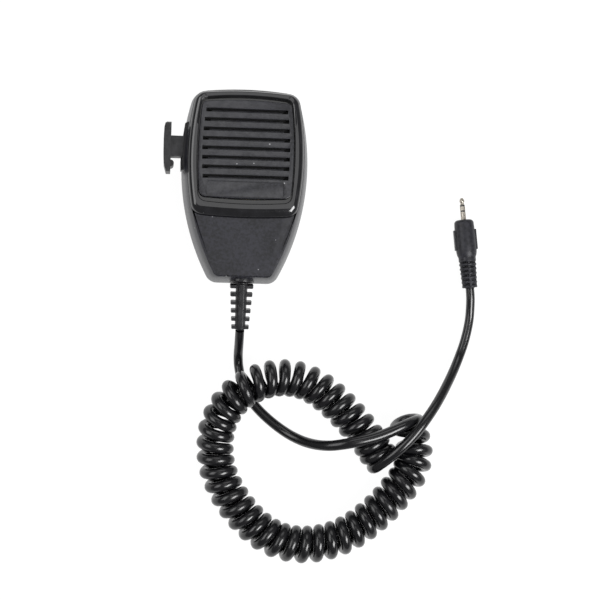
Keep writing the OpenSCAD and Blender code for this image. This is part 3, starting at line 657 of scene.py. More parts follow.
# Rows of a cover: the height, then how far its outline is let in at the sides, the top and the bottom
rear_rows = faired([(17, 0.3, 0.3, 0.3), (16.6, 0, 0, 0), (12, 0.6, 0.6, 0.6), (8, 2.3, 2.3, 2.3),
                    (6.2, 5, 5, 5), (5.5, 8, 8, 8)], 5)
rear_inside = faired([(7.7, 6.2, 6.2, 6.2), (10, 3.2, 3.2, 3.2), (13, 2.5, 2.5, 2.5), (17, 2.2, 2.2, 2.2)], 4)
rear_mesh = loft("rear_blank", [cover_ring(*row) for row in rear_rows[::-1]])
hollow_rows = rear_inside + [(18.5, 2.2, 2.2, 2.2)]
rear_blank = new_piece("rear_blank", rear_mesh, cover_plastic.material)
rear_cavity = new_piece("cavity_tool", loft("cavity_tool", [cover_ring(*row) for row in hollow_rows]))
REAR_BOSS = ((2.95, 7.6), (4, 7.6), (4, 17), (1.45, 17), (1.45, 8.4), (2.95, 8.4), (2.95, 7.6))
BUTTON_PAD = ((2.45, 4.9), (7.7, 4.9), (8, 5.2), (8, 7.8), (5.4, 7.8), (5.4, 8.9), (2.45, 8.9), (2.45, 4.9))
at_screws = [Matrix.Translation((x * MM, y * MM, 0.0)) for x, y in COVER_SCREW_AT]
counterbores = [bore_tool(*COUNTERBORE, along=place) for place in at_screws]
cut(rear_blank, rear_cavity)
cut(rear_blank, *counterbores, bore_tool(*BUTTON_BORE), block_tool(*BACK_LABEL), block_tool(*KEY_WINDOW),
    block_tool(*RELIEF_SEAT))
bosses = [turned("boss", REAR_BOSS, 48, place) for place in at_screws]
rear_cover = joined("rear_shell", rear_blank, turned("button_pad", BUTTON_PAD, 96), *bosses)
soften(rear_cover, MOULDED_EDGE)
fit(rear_cover, "rear_cover")

# ---------------------------------------------------------------------------------------------
# Front cover: the same ABS, with sides that lean in to a flat matte face. The face is let down for
# the bezel and open under it for the grille. The brass inserts are pressed in behind its face.
BEZEL_W = 56.2 * MM
BEZEL_SIDE = (13 * MM, 135 * MM)
OPENING_W = 46.8 * MM
OPENING_SIDE = (14 * MM, 200 * MM)
OPENING_TOP, OPENING_BOTTOM = 42.2, -9.7
BEZEL_TOP, BEZEL_BOTTOM = 45.2, -16.4
BEZEL_R = 6
BEZEL_SEAT = 28
FACE_Z = 29.2
SPIGOT = 0.9
BEZEL_SAG = 0.8 * MM
CLEAR = 0.05
COLLAR_BORE = (5.8, 14)
COLLAR_AT = (0.0, -0.041, 0.021)
COLLAR_SLOT = ((-5.8, -60, 15), (5.8, -41, 21))


def bezel_ring(z, side, top, bottom):
    """The bezel's raised outline at height z, inset at its sides, top and bottom, in millimetres."""
    top_r = max(2, BEZEL_R - side) * MM
    bottom_r = max(2, BEZEL_R - (side + bottom) / 2) * MM
    flat = barrel(BEZEL_W, BEZEL_SIDE, side * MM, (BEZEL_TOP - top) * MM, (BEZEL_BOTTOM + bottom) * MM,
                  top_r, bottom_r, BEZEL_SAG)
    return [(x, y, z * MM) for x, y in flat]


def opening_ring(z, inset):
    """The bezel's opening at height z, inset, in millimetres."""
    corner = max(1.5, 4 - inset) * MM
    flat = barrel(OPENING_W, OPENING_SIDE, inset * MM, (OPENING_TOP - inset) * MM,
                  (OPENING_BOTTOM + inset) * MM, corner, corner, BEZEL_SAG)
    return [(x, y, z * MM) for x, y in flat]


front_rows = faired([(17, 0.3, 0.3, 0.3), (17.4, 0, 0, 0), (20, 0.4, 0.2, 0.3), (25, 1.6, 0.8, 1.3),
                     (28.4, 3, 1.3, 2.3), (29.2, 3.6, 1.8, 3)], 5)
front_inside = faired([(27, 4.2, 3, 4), (20, 2.6, 2.2, 2.5), (17, 2.2, 2.2, 2.2)], 5)
front_rings = [cover_ring(*row) for row in front_rows]
front_rings += [bezel_ring(z, -CLEAR, -CLEAR, -CLEAR) for z in (FACE_Z, BEZEL_SEAT)]
front_rings += [opening_ring(z, -SPIGOT - CLEAR) for z in (BEZEL_SEAT, 27)]
front_rings += [cover_ring(*row) for row in front_inside]
front_mesh = loft("front_shell", front_rings, ring_shaped=True)
front_cover = new_piece("front_shell", front_mesh, cover_plastic.material)
along_collar = Matrix.Translation(COLLAR_AT) @ Matrix.Rotation(math.pi / 2, 4, "X")
cut(front_cover, block_tool(*KEY_WINDOW), block_tool(*COLLAR_SLOT), bore_tool(*COLLAR_BORE, 64, along_collar))
soften(front_cover, MOULDED_EDGE)
fit(front_cover, "front_cover")

# ---------------------------------------------------------------------------------------------
# Grille bezel: a separate ring of polished black ABS, pressed into the face. Its outside rolls over
# to a land round the opening, and a step inside carries the grille panel.
polished_plastic = plastic("polished_plastic", (0.003, 0.003, 0.004), (0.1, 0.17), 900.0, 0.000002, edge_wear_and_sheen=0.25,
                           lint=0.25, mottle=140.0, Coat_Weight=0.6, Coat_Roughness=0.06)
scratches = polished_plastic.noise(60.0, detail=2.0, stretch=(30.0, 1.4, 8.0))
polished_plastic.bump(scratches, 0.04, 0.00001)
bezel_rows = faired([(28, 0, 0, 0), (29.2, 0.1, 0.1, 0), (30.6, 0.7, 0.4, 1), (31.6, 1.8, 0.9, 2.8),
                     (32, 2.8, 1.3, 4.3)], 7)
bezel_rings = [bezel_ring(*row) for row in bezel_rows]
# Inside the ring: the lip's round edge, the opening down to the step, the step and the spigot under it
bezel_rings += [opening_ring(z, inset) for z, inset in (
    (31.9, -0.35), (31.55, 0), (27.6, 0), (27.6, 2.2), (26.3, 2.2), (26.3, -SPIGOT), (28, -SPIGOT))]
bezel_mesh = loft("bezel_ring", bezel_rings, ring_shaped=True)
grille_bezel = new_piece("bezel_ring", bezel_mesh, polished_plastic.material)
soften(grille_bezel, 0.12 * MM, 3, math.radians(40))
fit(grille_bezel, "grille_bezel")

# ---------------------------------------------------------------------------------------------
# Grille panel: a matte black ABS plate that drops into the bezel's step. Eight louvred slots are
# moulded through it, each with an open cell at both ends, over a blank raised-edge label field.
SLOT_COUNT = 8
SLOT_PITCH = 4.56
SLOT_TOP_Y = 35.1
SLOT_W = 42.2
SLOT_H = 1.9
SLOT_SIDE = (15.0, 143.0)
SLOT_END_W = 2.8
LOUVRE_GAP = 1.1
LOUVRE_RISE = 1.1
PANEL_Z = 27.6
PANEL_T = 3.2
PANEL_TOP = 40.4
PANEL_BOTTOM = -7.1
LABEL_W, LABEL_H, LABEL_R, LABEL_DEPTH = 37.2, 7.4, 1.4, 0.35


class Tree:
    """A Geometry Nodes tree under construction, with a named input for each of its sizes."""

    def __init__(self, name, inputs):
        self.group = bpy.data.node_groups.new(name, "GeometryNodeTree")
        self.group.is_modifier = True
        sockets = self.group.interface
        sockets.new_socket("Geometry", in_out="INPUT", socket_type="NodeSocketGeometry")
        self.names = {
            label: sockets.new_socket(label, in_out="INPUT", socket_type="NodeSocket" + kind).identifier
            for label, kind in {**inputs, "Material": "Material"}.items()}
        sockets.new_socket("Geometry", in_out="OUTPUT", socket_type="NodeSocketGeometry")
        self.given = self.group.nodes.new("NodeGroupInput").outputs

    def node(self, kind, inputs=None, **settings):
        """Adds a node. Its inputs are values or other nodes' outputs, by name or by number."""
        node = self.group.nodes.new(kind)
        for setting, value in settings.items():
            setattr(node, setting, value)
        for label, value in (inputs or {}).items():
            socket = node.inputs[label]
            if isinstance(value, bpy.types.NodeSocket):
                self.group.links.new(value, socket)
            else:
                socket.default_value = value
        return node

    def out(self, kind, inputs=None, **settings):
        """What a geometry node of this kind puts out."""
        return self.node("GeometryNode" + kind, inputs, **settings).outputs[0]

    def calc(self, operation, first, second=0.0):
        return self.node("ShaderNodeMath", {0: first, 1: second}, operation=operation).outputs[0]

    def vector(self, x=0.0, y=0.0, z=0.0):
        return self.node("ShaderNodeCombineXYZ", {"X": x, "Y": y, "Z": z}).outputs[0]

    def joined(self, *parts):
        join = self.node("GeometryNodeJoinGeometry")
        for part in parts:
            self.group.links.new(part, join.inputs[0])
        return join.outputs[0]

    def close(self, shape):
        """Ends the tree in real geometry with its material."""
        real = self.out("RealizeInstances", {"Geometry": shape})
        painted = self.node("GeometryNodeSetMaterial", {"Geometry": real, "Material": self.given["Material"]})
        self.group.links.new(painted.outputs[0], self.group.nodes.new("NodeGroupOutput").inputs[0])

    def make(self, name, start, finish, **values):
        """Runs the tree on a mesh and gives back the plain piece."""
        piece = new_piece(name, start)
        grown = piece.modifiers.new(self.group.name, "NODES")
        grown.node_group = self.group
        for label, value in values.items():
            grown[self.names[label.replace("_", " ")]] = value
        grown[self.names["Material"]] = finish.material
        plain(piece)
        paint(piece, finish.material)
        return piece


def panel_ring(z, inset):
    flat = barrel((OPENING_W / MM - 0.6) * MM, OPENING_SIDE, inset * MM, (PANEL_TOP - inset) * MM,
                  (PANEL_BOTTOM + inset) * MM, 2.6 * MM, 3.4 * MM, 0.5 * MM)
    return [(x, y, z * MM) for x, y in flat]


def round_box(name, size, radius, low, high):
    """Upright block with round corners, centred at (x, y) of size = (x, y, width, height)."""
    x, y, width, height = size
    corners = ((1, 1, 0), (-1, 1, 90), (-1, -1, 180), (1, -1, 270))
    outline = [p for sx, sy, turn in corners
               for p in arc((x + sx * (width / 2 - radius), y + sy * (height / 2 - radius)), radius,
                            math.radians(turn), math.radians(turn + 90), 8)]
    return loft(name, [[(px * MM, py * MM, z * MM) for px, py in outline] for z in (low, high)])


slots = Tree("louvred_slots", {"Slot Count": "Int", **dict.fromkeys((
    "Slot Pitch", "Top Slot", "Slot Width", "Side Radius", "Widest At", "End Width", "Slot Height", "Gap",
    "Rise", "Plate Top", "Plate Thickness"), "Float")})
given = slots.given
rows = slots.out("MeshLine", {
    "Count": given["Slot Count"], "Start Location": slots.vector(0.0, given["Top Slot"], given["Plate Top"]),
    "Offset": slots.vector(0.0, slots.calc("MULTIPLY", given["Slot Pitch"], -1.0))})
row_y = slots.node("ShaderNodeSeparateXYZ", {0: slots.out("InputPosition")}).outputs["Y"]
from_widest = slots.calc("SUBTRACT", row_y, given["Widest At"])
radius_squared = slots.calc("MULTIPLY", given["Side Radius"], given["Side Radius"])
squared = slots.calc("MULTIPLY", from_widest, from_widest)
side_x = slots.calc("SQRT", slots.calc("SUBTRACT", radius_squared, squared))
half = slots.calc("ADD", slots.calc("SUBTRACT", side_x, given["Side Radius"]),
                 slots.calc("MULTIPLY", given["Slot Width"], 0.5))
gap_y = slots.calc("MULTIPLY", slots.calc("SUBTRACT", given["Slot Height"], given["Gap"]), 0.5)
deep = slots.calc("MULTIPLY", given["Plate Thickness"], 3.0)
gap_cutter = slots.out("MeshCube", {"Size": slots.vector(2.0, given["Gap"], deep)})
gap_cutter = slots.out("Transform", {"Geometry": gap_cutter,
                                                  "Translation": slots.vector(0.0, gap_y)})
wedge = slots.out("MeshCube", {"Size": (2.0, math.sqrt(2.0), math.sqrt(2.0))})
wedge = slots.out("Transform", {"Geometry": wedge, "Rotation": (math.pi / 4, 0.0, 0.0)})
wedge = slots.out("Transform", {"Geometry": wedge, "Scale": slots.vector(
    1.0, slots.calc("MULTIPLY", given["Slot Height"], 0.5), given["Rise"])})
length = slots.vector(half, 1.0, 1.0)
long_cuts = [slots.out("InstanceOnPoints", {"Points": rows, "Instance": cutter, "Scale": length})
             for cutter in (gap_cutter, wedge)]
cell = slots.out("MeshCube", {"Size": slots.vector(given["End Width"], given["Slot Height"], deep)})
cell_x = slots.calc("SUBTRACT", half, slots.calc("MULTIPLY", given["End Width"], 0.5))
cells = []
for side in (-1.0, 1.0):
    ends = slots.out("SetPosition", {"Geometry": rows, "Offset": slots.vector(
        slots.calc("MULTIPLY", cell_x, side))})
    cells.append(slots.out("InstanceOnPoints", {"Points": ends, "Instance": cell}))
plate = given["Geometry"]
for cutter in [*long_cuts, *cells]:
    real = slots.out("RealizeInstances", {"Geometry": cutter})
    plate = slots.out("MeshBoolean", {"Mesh 1": plate, "Mesh 2": real},
                       operation="DIFFERENCE", solver="EXACT")
slots.close(plate)

satin_plastic = plastic("satin_plastic", (0.006, 0.006, 0.008), (0.4, 0.46), 5200.0, 0.00006, edge_wear_and_sheen=0.7,
                        lint=0.9, contrast=3.0)
panel_blank = loft("panel_blank", [panel_ring(PANEL_Z + height, inset) for height, inset in (
    (0, 0), (PANEL_T - 0.5, 0), (PANEL_T - 0.2, 0.08), (PANEL_T, 0.35))])
label_y = PANEL_BOTTOM + 0.7 + LABEL_H / 2
label_tool = new_piece("label_tool", round_box("label_tool", (0, label_y, LABEL_W, LABEL_H), LABEL_R,
                                               PANEL_Z + PANEL_T - LABEL_DEPTH, PANEL_Z + PANEL_T + 1))
grille_panel = slots.make(
    "louvred_panel", panel_blank, satin_plastic, Slot_Count=SLOT_COUNT, Slot_Pitch=SLOT_PITCH * MM,
    Top_Slot=SLOT_TOP_Y * MM, Slot_Width=SLOT_W * MM, Side_Radius=SLOT_SIDE[1] * MM,
    Widest_At=SLOT_SIDE[0] * MM, End_Width=SLOT_END_W * MM, Slot_Height=SLOT_H * MM, Gap=LOUVRE_GAP * MM,
    Rise=LOUVRE_RISE * MM, Plate_Top=(PANEL_Z + PANEL_T) * MM, Plate_Thickness=PANEL_T * MM)
cut(grille_panel, label_tool)
soften(grille_panel, 0.12 * MM, 2)
fit(grille_panel, "grille_panel")

# ---------------------------------------------------------------------------------------------
# Dust cloth: a thin black plain-weave polyester, cut to the opening and glued under the bezel's
# step, so that nothing falls through the slots onto the capsule.
CLOTH_T = 0.25 * MM
CLOTH_Z = 27.2
THREADS = 2.2
cloth_ring = opening_ring(CLOTH_Z, 2.5)
cloth_mesh = loft("stretched_cloth", [cloth_ring, [(x, y, z + CLOTH_T) for x, y, z in cloth_ring]])
corner_pairs = zip(cloth_ring, cloth_ring[1:] + cloth_ring[:1])
cloth_area = abs(sum(a[0] * b[1] - b[0] * a[1] for a, b in corner_pairs)) / 2
weave = Finish("dust_cloth", (0.012, 0.012, 0.012), 0.85, Sheen_Weight=0.2)
threads = []
for direction in ("X", "Y"):
    wave = weave.add("ShaderNodeTexWave", bands_direction=direction)
    weave.links.new(weave.place, wave.inputs["Vector"])
    wave.inputs["Scale"].default_value = 1000.0 / THREADS
    threads.append(wave.outputs["Fac"])
crossing = weave.add("ShaderNodeMath", operation="MULTIPLY")
for socket, thread in zip(crossing.inputs, threads):
    weave.links.new(thread, socket)
weave.feed("Base Color", weave.blend(crossing.outputs[0], (0.004, 0.004, 0.004), (0.02, 0.02, 0.02)))
weave.bump(crossing.outputs[0], 0.5, 0.0001)
dust_cloth = new_piece("stretched_cloth", cloth_mesh, weave.material)
fit(dust_cloth, "dust_cloth")

# ---------------------------------------------------------------------------------------------
# Microphone capsule: a drawn aluminium electret can in a soft rubber boot that stands on the board,
# with two short insulated wires soldered below.
soft_rubber = plastic("soft_rubber", (0.014, 0.014, 0.015), (0.62, 0.8), 2400.0, 0.00005, edge_wear_and_sheen=0.3)


def metal(name, colour, roughness, scale, rub, tones=None, stretch=None, bump=None, **sockets):
    """Bare or plated metal, with streaks in its roughness, and in its tones and relief if given."""
    finish = Finish(name, colour, roughness, **{"Metallic": 1.0, **sockets})
    streaks = finish.noise(scale, stretch=stretch)
    finish.feed("Roughness", finish.spread(streaks, 0.3, 0.7, *rub))
    if tones is not None:
        finish.feed("Base Color", finish.blend(streaks, *tones))
    if bump is not None:
        finish.bump(streaks, *bump)
    return finish


capsule_can = metal("capsule_can", (0.72, 0.72, 0.74), 0.3, 700.0, (0.22, 0.42), stretch=(1.0, 1.0, 14.0),
                    bump=(0.1, 0.00002))
wire_red = plastic("wire_red", (0.5, 0.03, 0.025), (0.35, 0.5), 1800.0, 0.00002, edge_wear_and_sheen=0.1)


def dress(node, finish):
    """Gives a carried-over CAD part its finish."""
    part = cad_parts[node]
    part.data.materials.clear()
    part.data.materials.append(finish.material)


dress("capsule_boot", soft_rubber)
dress("mic_capsule", capsule_can)
dress("capsule_wires", wire_red)

# ---------------------------------------------------------------------------------------------
# Circuit board: green solder mask over glass laminate with its amplifier chip, capacitors,
# resistors, gain trimmer and a four-pin header for the cord's wires.
board_laminate = Finish("board_laminate", (0.02, 0.16, 0.06), 0.3, Coat_Weight=0.4)
glass = board_laminate.noise(1500.0, detail=2.0)
tracks = board_laminate.add("ShaderNodeTexBrick")
board_laminate.links.new(board_laminate.place, tracks.inputs["Vector"])
for socket, value in {"Scale": 160.0, "Mortar Size": 0.012, "Brick Width": 0.9, "Row Height": 0.45}.items():
    tracks.inputs[socket].default_value = value
masked = board_laminate.blend(tracks.outputs["Fac"], (0.012, 0.11, 0.045), (0.03, 0.24, 0.09))
board_laminate.feed("Base Color", masked)
board_laminate.feed("Roughness", board_laminate.spread(glass, 0.3, 0.7, 0.24, 0.4))
board_laminate.bump(tracks.outputs["Fac"], 0.3, 0.00004)
dress("circuit_board", board_laminate)
for node, slot, colour, smoothness, grains, depth, edge_wear_and_sheen in (
        ("capacitors", "capacitor_sleeve", (0.02, 0.03, 0.14), (0.2, 0.32), 900.0, 0.00001, 0.2),
        ("resistors", "resistor_body", (0.5, 0.36, 0.18), (0.4, 0.55), 2200.0, 0.00003, 0.2),
        ("amplifier_chip", "chip_epoxy", (0.02, 0.02, 0.021), (0.55, 0.7), 5200.0, 0.00003, 0.2),
        ("trimmer_base", "trimmer_blue", (0.02, 0.08, 0.36), (0.3, 0.42), 2600.0, 0.00002, 0.2),
        ("trimmer_rotor", "trimmer_white", (0.68, 0.67, 0.6), (0.4, 0.55), 2600.0, 0.00002, 0.0),
        ("wire_header", "header_nylon", (0.7, 0.67, 0.58), (0.4, 0.55), 2600.0, 0.00002, 0.0),
        ("cord_wires", "wire_blue", (0.03, 0.14, 0.45), (0.35, 0.5), 1800.0, 0.00002, 0.1)):
    dress(node, plastic(slot, colour, smoothness, grains, depth, edge_wear_and_sheen))

# ---------------------------------------------------------------------------------------------
# Press-to-talk key: one moulding in fine matte ABS, with a bowed finger bar, a stem through the
# wall and a round stop. It slides in a plain guide plate that the two covers clamp between them.
key_plastic = plastic("key_plastic", (0.008, 0.008, 0.009), (0.4, 0.52), 3800.0, 0.00003, edge_wear_and_sheen=0.8, lint=0.6)
guide_plastic = plastic("guide_plastic", (0.006, 0.006, 0.007), (0.42, 0.56), 3200.0, 0.00003, edge_wear_and_sheen=0.4,
                        lint=0.4)
MERGE = 0.000004


def moulded(node, name, finish, edge, segments=2):
    """Stands for a CAD part with the same shape, its seams merged and its edges rounded as moulded."""
    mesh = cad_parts[node].data.copy()
    mesh.name = name
    build = bmesh.new()
    build.from_mesh(mesh)
    bmesh.ops.remove_doubles(build, verts=build.verts, dist=MERGE)
    bmesh.ops.dissolve_limit(build, angle_limit=math.radians(1.0), verts=build.verts, edges=build.edges)
    build.to_mesh(mesh)
    build.free()
    mesh.materials.clear()
    piece = new_piece(name, mesh, finish.material)
    soften(piece, edge, segments)
    return piece


fit(moulded("ptt_key", "finger_key", key_plastic, 0.35 * MM, 3), "ptt_key", "key")
fit(moulded("ptt_guide", "key_guide", guide_plastic, 0.15 * MM), "ptt_guide")

# ---------------------------------------------------------------------------------------------
# Return spring: five turns of drawn spring wire between the key's flange and a rib in the rear
# cover, with its end turns closed and ground.
SPRING_AT = Vector((-25.1, 15.4, 14.6)) * MM
SPRING_L = 5.2
SPRING_R = 2.0
SPRING_WIRE = 0.45
SPRING_TURNS = 5.0
spring_steel = metal("spring_steel", (0.5, 0.5, 0.52), 0.28, 2200.0, (0.2, 0.4), stretch=(6.0, 1.0, 1.0),
                     bump=(0.12, 0.00002))

winding = Tree("wound_spring", {"Turns": "Float", "Radius": "Float", "Length": "Float", "Wire": "Float"})
wound = winding.out("CurveSpiral", {
    "Resolution": 28, "Rotations": winding.given["Turns"], "Start Radius": winding.given["Radius"],
    "End Radius": winding.given["Radius"], "Height": winding.given["Length"]})
wire = winding.out("CurvePrimitiveCircle", {"Resolution": 10, "Radius": winding.calc(
    "MULTIPLY", winding.given["Wire"], 0.5)}, mode="RADIUS")
drawn_wire = winding.out("CurveToMesh", {"Curve": wound, "Profile Curve": wire, "Fill Caps": True})
lying = winding.out("Transform", {"Geometry": drawn_wire, "Rotation": (0.0, math.pi / 2, 0.0),
                                               "Translation": tuple(SPRING_AT)})
winding.close(lying)
return_spring = winding.make("return_spring", bpy.data.meshes.new("return_spring"), spring_steel,
                             Turns=SPRING_TURNS, Radius=SPRING_R * MM, Length=(SPRING_L - SPRING_WIRE) * MM,
                             Wire=SPRING_WIRE * MM)
soften(return_spring, 0)
fit(return_spring, "ptt_spring")
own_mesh(return_spring)

# ---------------------------------------------------------------------------------------------
# Switch: a sealed snap switch on the board with a red plunger that the key's finger pushes, and
# three tinned terminals through the board.
switch_body = plastic("switch_body", (0.022, 0.022, 0.025), (0.45, 0.6), 3200.0, 0.00003, edge_wear_and_sheen=0.3)
plunger_red = plastic("plunger_red", (0.5, 0.04, 0.03), (0.35, 0.5), 2600.0, 0.00002, edge_wear_and_sheen=0.2)
tinned_brass = metal("tinned_brass", (0.62, 0.56, 0.4), 0.35, 1400.0, (0.25, 0.45),
                     ((0.7, 0.66, 0.55), (0.5, 0.42, 0.24)))
for node, finish in (("ptt_switch", switch_body), ("switch_plunger", plunger_red),
                     ("switch_terminals", tinned_brass)):
    dress(node, finish)

# ---------------------------------------------------------------------------------------------
# Hang-up button: a turned-looking moulding with a flat face, a round rim and a neck for the hanger's
# fork, held from inside by a screw and a washer.
BUTTON = ((0, 0), (4.9, 0), (5.7, 0.08), (6.12, 0.28), (6.34, 0.52), (6.4, 0.72), (6.4, 1.3), (6.3, 1.52),
          (6.05, 1.74), (5.4, 2.0), (3.75, 2.0), (3.6, 2.12), (3.6, 4.9), (2.4, 4.9), (2.4, 8.8), (1.25, 8.8),
          (1.25, 2.4), (0, 2.4))
hang_button = turned("hang_up_button", BUTTON, 96, finish=key_plastic)
soften(hang_button, 0)
fit(hang_button, "hang_button")

# ---------------------------------------------------------------------------------------------
# Screws: steel, with a cross recess and a rolled thread. The four cover screws are black oxide and
# come up through the back into brass inserts. The rest are zinc plated.
zinc_steel = metal("zinc_steel", (0.62, 0.63, 0.66), 0.32, 900.0, (0.24, 0.45),
                   ((0.66, 0.67, 0.7), (0.5, 0.52, 0.56)))
black_screw = metal("black_screw", (0.03, 0.03, 0.032), 0.4, 1200.0, (0.32, 0.5),
                    ((0.02, 0.02, 0.022), (0.06, 0.058, 0.055)), Metallic=0.8)
insert_brass = metal("insert_brass", (0.7, 0.48, 0.18), 0.3, 900.0, (0.24, 0.4))
knurl = insert_brass.add("ShaderNodeTexWave", bands_direction="DIAGONAL")
insert_brass.links.new(insert_brass.place, knurl.inputs["Vector"])
knurl.inputs["Scale"].default_value = 800.0
insert_brass.bump(knurl.outputs["Fac"], 0.3, 0.0001)

screws = Tree("cross_recess_screws", {
    "Head Radius": "Float", "Head Height": "Float", "Shank Radius": "Float", "Shank Length": "Float",
    "Pitch": "Float", "Turn": "Vector"})
size = screws.given
head_z = screws.calc("MULTIPLY", size["Head Height"], 0.5)
head = screws.out("MeshCylinder", {"Vertices": 40, "Radius": size["Head Radius"],
                                                "Depth": size["Head Height"]})
head = screws.out("Transform", {"Geometry": head, "Translation": screws.vector(0.0, 0.0, head_z)})
arm_l = screws.calc("MULTIPLY", size["Head Radius"], 1.2)
arm_w = screws.calc("MULTIPLY", size["Head Radius"], 0.22)
for arm in ((arm_l, arm_w), (arm_w, arm_l)):
    blade = screws.out("MeshCube", {"Size": screws.vector(*arm, size["Head Height"])})
    head = screws.out("MeshBoolean", {"Mesh 1": head, "Mesh 2": blade}, operation="DIFFERENCE",
                       solver="EXACT")
core_r = screws.calc("MULTIPLY", size["Shank Radius"], 0.86)
core = screws.out("MeshCylinder", {"Vertices": 24, "Radius": core_r, "Depth": size["Shank Length"]})
core_z = screws.calc("ADD", size["Head Height"], screws.calc("MULTIPLY", size["Shank Length"], 0.5))
core = screws.out("Transform", {"Geometry": core, "Translation": screws.vector(0.0, 0.0, core_z)})
rolled_l = screws.calc("MULTIPLY", size["Shank Length"], 0.86)
thread = screws.out("CurveSpiral", {
    "Resolution": 20, "Rotations": screws.calc("DIVIDE", rolled_l, size["Pitch"]),
    "Start Radius": core_r, "End Radius": core_r, "Height": rolled_l})
crest = screws.out("CurvePrimitiveCircle", {"Resolution": 4, "Radius": screws.calc(
    "SUBTRACT", size["Shank Radius"], core_r)}, mode="RADIUS")
thread = screws.out("CurveToMesh", {"Curve": thread, "Profile Curve": crest, "Fill Caps": True})
thread_z = screws.calc("ADD", size["Head Height"], screws.calc("MULTIPLY", size["Shank Length"], 0.07))
thread = screws.out("Transform", {"Geometry": thread, "Translation": screws.vector(0.0, 0.0, thread_z)})
screws.close(screws.out("InstanceOnPoints", {
    "Points": screws.out("MeshToPoints", {"Mesh": size["Geometry"]}),
    "Instance": screws.joined(head, core, thread), "Rotation": size["Turn"]}))


def screw_set(node, name, places, finish, head, shank, pitch, upright):
    """All screws of one kind, at the given (x, y, head face) places."""
    at = bpy.data.meshes.new(name)
    at.from_pydata([(x * MM, y * MM, z * MM) for x, y, z in places], [], [])
    made = screws.make(name, at, finish, Head_Radius=head[0] * MM, Head_Height=head[1] * MM,
                       Shank_Radius=shank[0] * MM, Shank_Length=shank[1] * MM, Pitch=pitch * MM,
                       Turn=(0.0, 0.0, 0.4) if upright else (math.pi, 0.0, 0.4))
    soften(made, 0)
    fit(made, node)


screw_set("cover_screws", "cover_screw_set", [(x, y, 6.5) for x, y in COVER_SCREW_AT], black_screw,
          (2.6, 1.88), (1.25, 14), 0.6, True)
screw_set("board_screws", "board_screw_set", [(-13, 29.5, 18.2), (18.5, 27.5, 18.2), (13, -27, 18.2),
          (-11.5, -27, 18.2)], zinc_steel, (2.2, 1.38), (1.1, 5.5), 0.5, False)
screw_set("clamp_screws", "clamp_screw_set", [(-7.6, -35.6, 15.8), (7.6, -35.6, 15.8)], zinc_steel,
          (1.9, 1.38), (0.95, 6.4), 0.45, True)
screw_set("hang_screw", "button_screw", [(0, 0, 11.7)], zinc_steel, (2.6, 1.98), (1.2, 6.2), 0.5, False)
dress("hang_washer", zinc_steel)
dress("cord_clamp", zinc_steel)
dress("thread_inserts", insert_brass)

# ---------------------------------------------------------------------------------------------
# Strain relief: soft black PVC moulded onto the cord. A polished collar sits between the covers, and
# six flat ribs on a tapering core bend with the cord.
RELIEF_Z = 21
COLLAR_OUT = -47.0
TAIL_DROP = 18.0
RIB_PITCH = 4.1
RIB_Z = 1.9
RIB_COUNT = 6
FIRST_RIB = 1.2
LAST_RIB = 0.754
TAIL_FOOT = 0.6
relief_rubber = plastic("relief_rubber", (0.006, 0.006, 0.007), (0.22, 0.34), 1500.0, 0.00002, edge_wear_and_sheen=0.3,
                        lint=0.4, Specular_IOR_Level=0.4)
along_cord = Matrix.Translation((0, 0, RELIEF_Z * MM)) @ Matrix.Rotation(math.pi / 2, 4, "X")
on_tail = (Matrix.Translation((0, (COLLAR_OUT + TAIL_FOOT) * MM, RELIEF_Z * MM))
           @ Matrix.Rotation(math.radians(TAIL_DROP), 4, "X") @ Matrix.Rotation(math.pi / 2, 4, "X"))

ribs = Tree("rib_row", {"Rib": "Object", "Rib Count": "Int", "First": "Float", "Pitch": "Float",
                        "Last Scale": "Float"})
given = ribs.given
rib_line = ribs.out("MeshLine", {
    "Count": given["Rib Count"], "Start Location": ribs.vector(0.0, 0.0, given["First"]),
    "Offset": ribs.vector(0.0, 0.0, given["Pitch"])})
step = ribs.calc("DIVIDE", ribs.out("InputIndex"),
                ribs.calc("SUBTRACT", given["Rib Count"], 1.0))
shrink = ribs.calc("ADD", 1.0, ribs.calc("MULTIPLY", step, ribs.calc("SUBTRACT", given["Last Scale"], 1.0)))
pattern = ribs.node("GeometryNodeObjectInfo", {"Object": given["Rib"]},
                    transform_space="ORIGINAL").outputs["Geometry"]
ribs.close(ribs.out("InstanceOnPoints", {
    "Points": rib_line, "Instance": pattern, "Scale": ribs.vector(shrink, shrink, 1.0)}))


def rib_row(name, profile, finish, carried, flat=None, **sizes):
    """A row of like ribs, each turned from one profile and pressed flat above and below."""
    pattern = turned("rib_pattern", profile, 72)
    if flat is not None:
        cut(pattern, block_tool((-10, flat, -1), (10, 10, 9)), block_tool((-10, -10, -1), (10, -flat, 9)))
    made = ribs.make(name, bpy.data.meshes.new(name), finish, Rib=pattern, **sizes)
    bpy.data.objects.remove(pattern)
    made.data.transform(carried)
    return made


def block(name, size, radius, low, high, finish, carried=None):
    """A round-cornered block of the moulding, carried to its place by a matrix."""
    made = new_piece(name, round_box(name, size, radius, low, high), finish.material)
    if carried is not None:
        made.data.transform(carried)
    return made


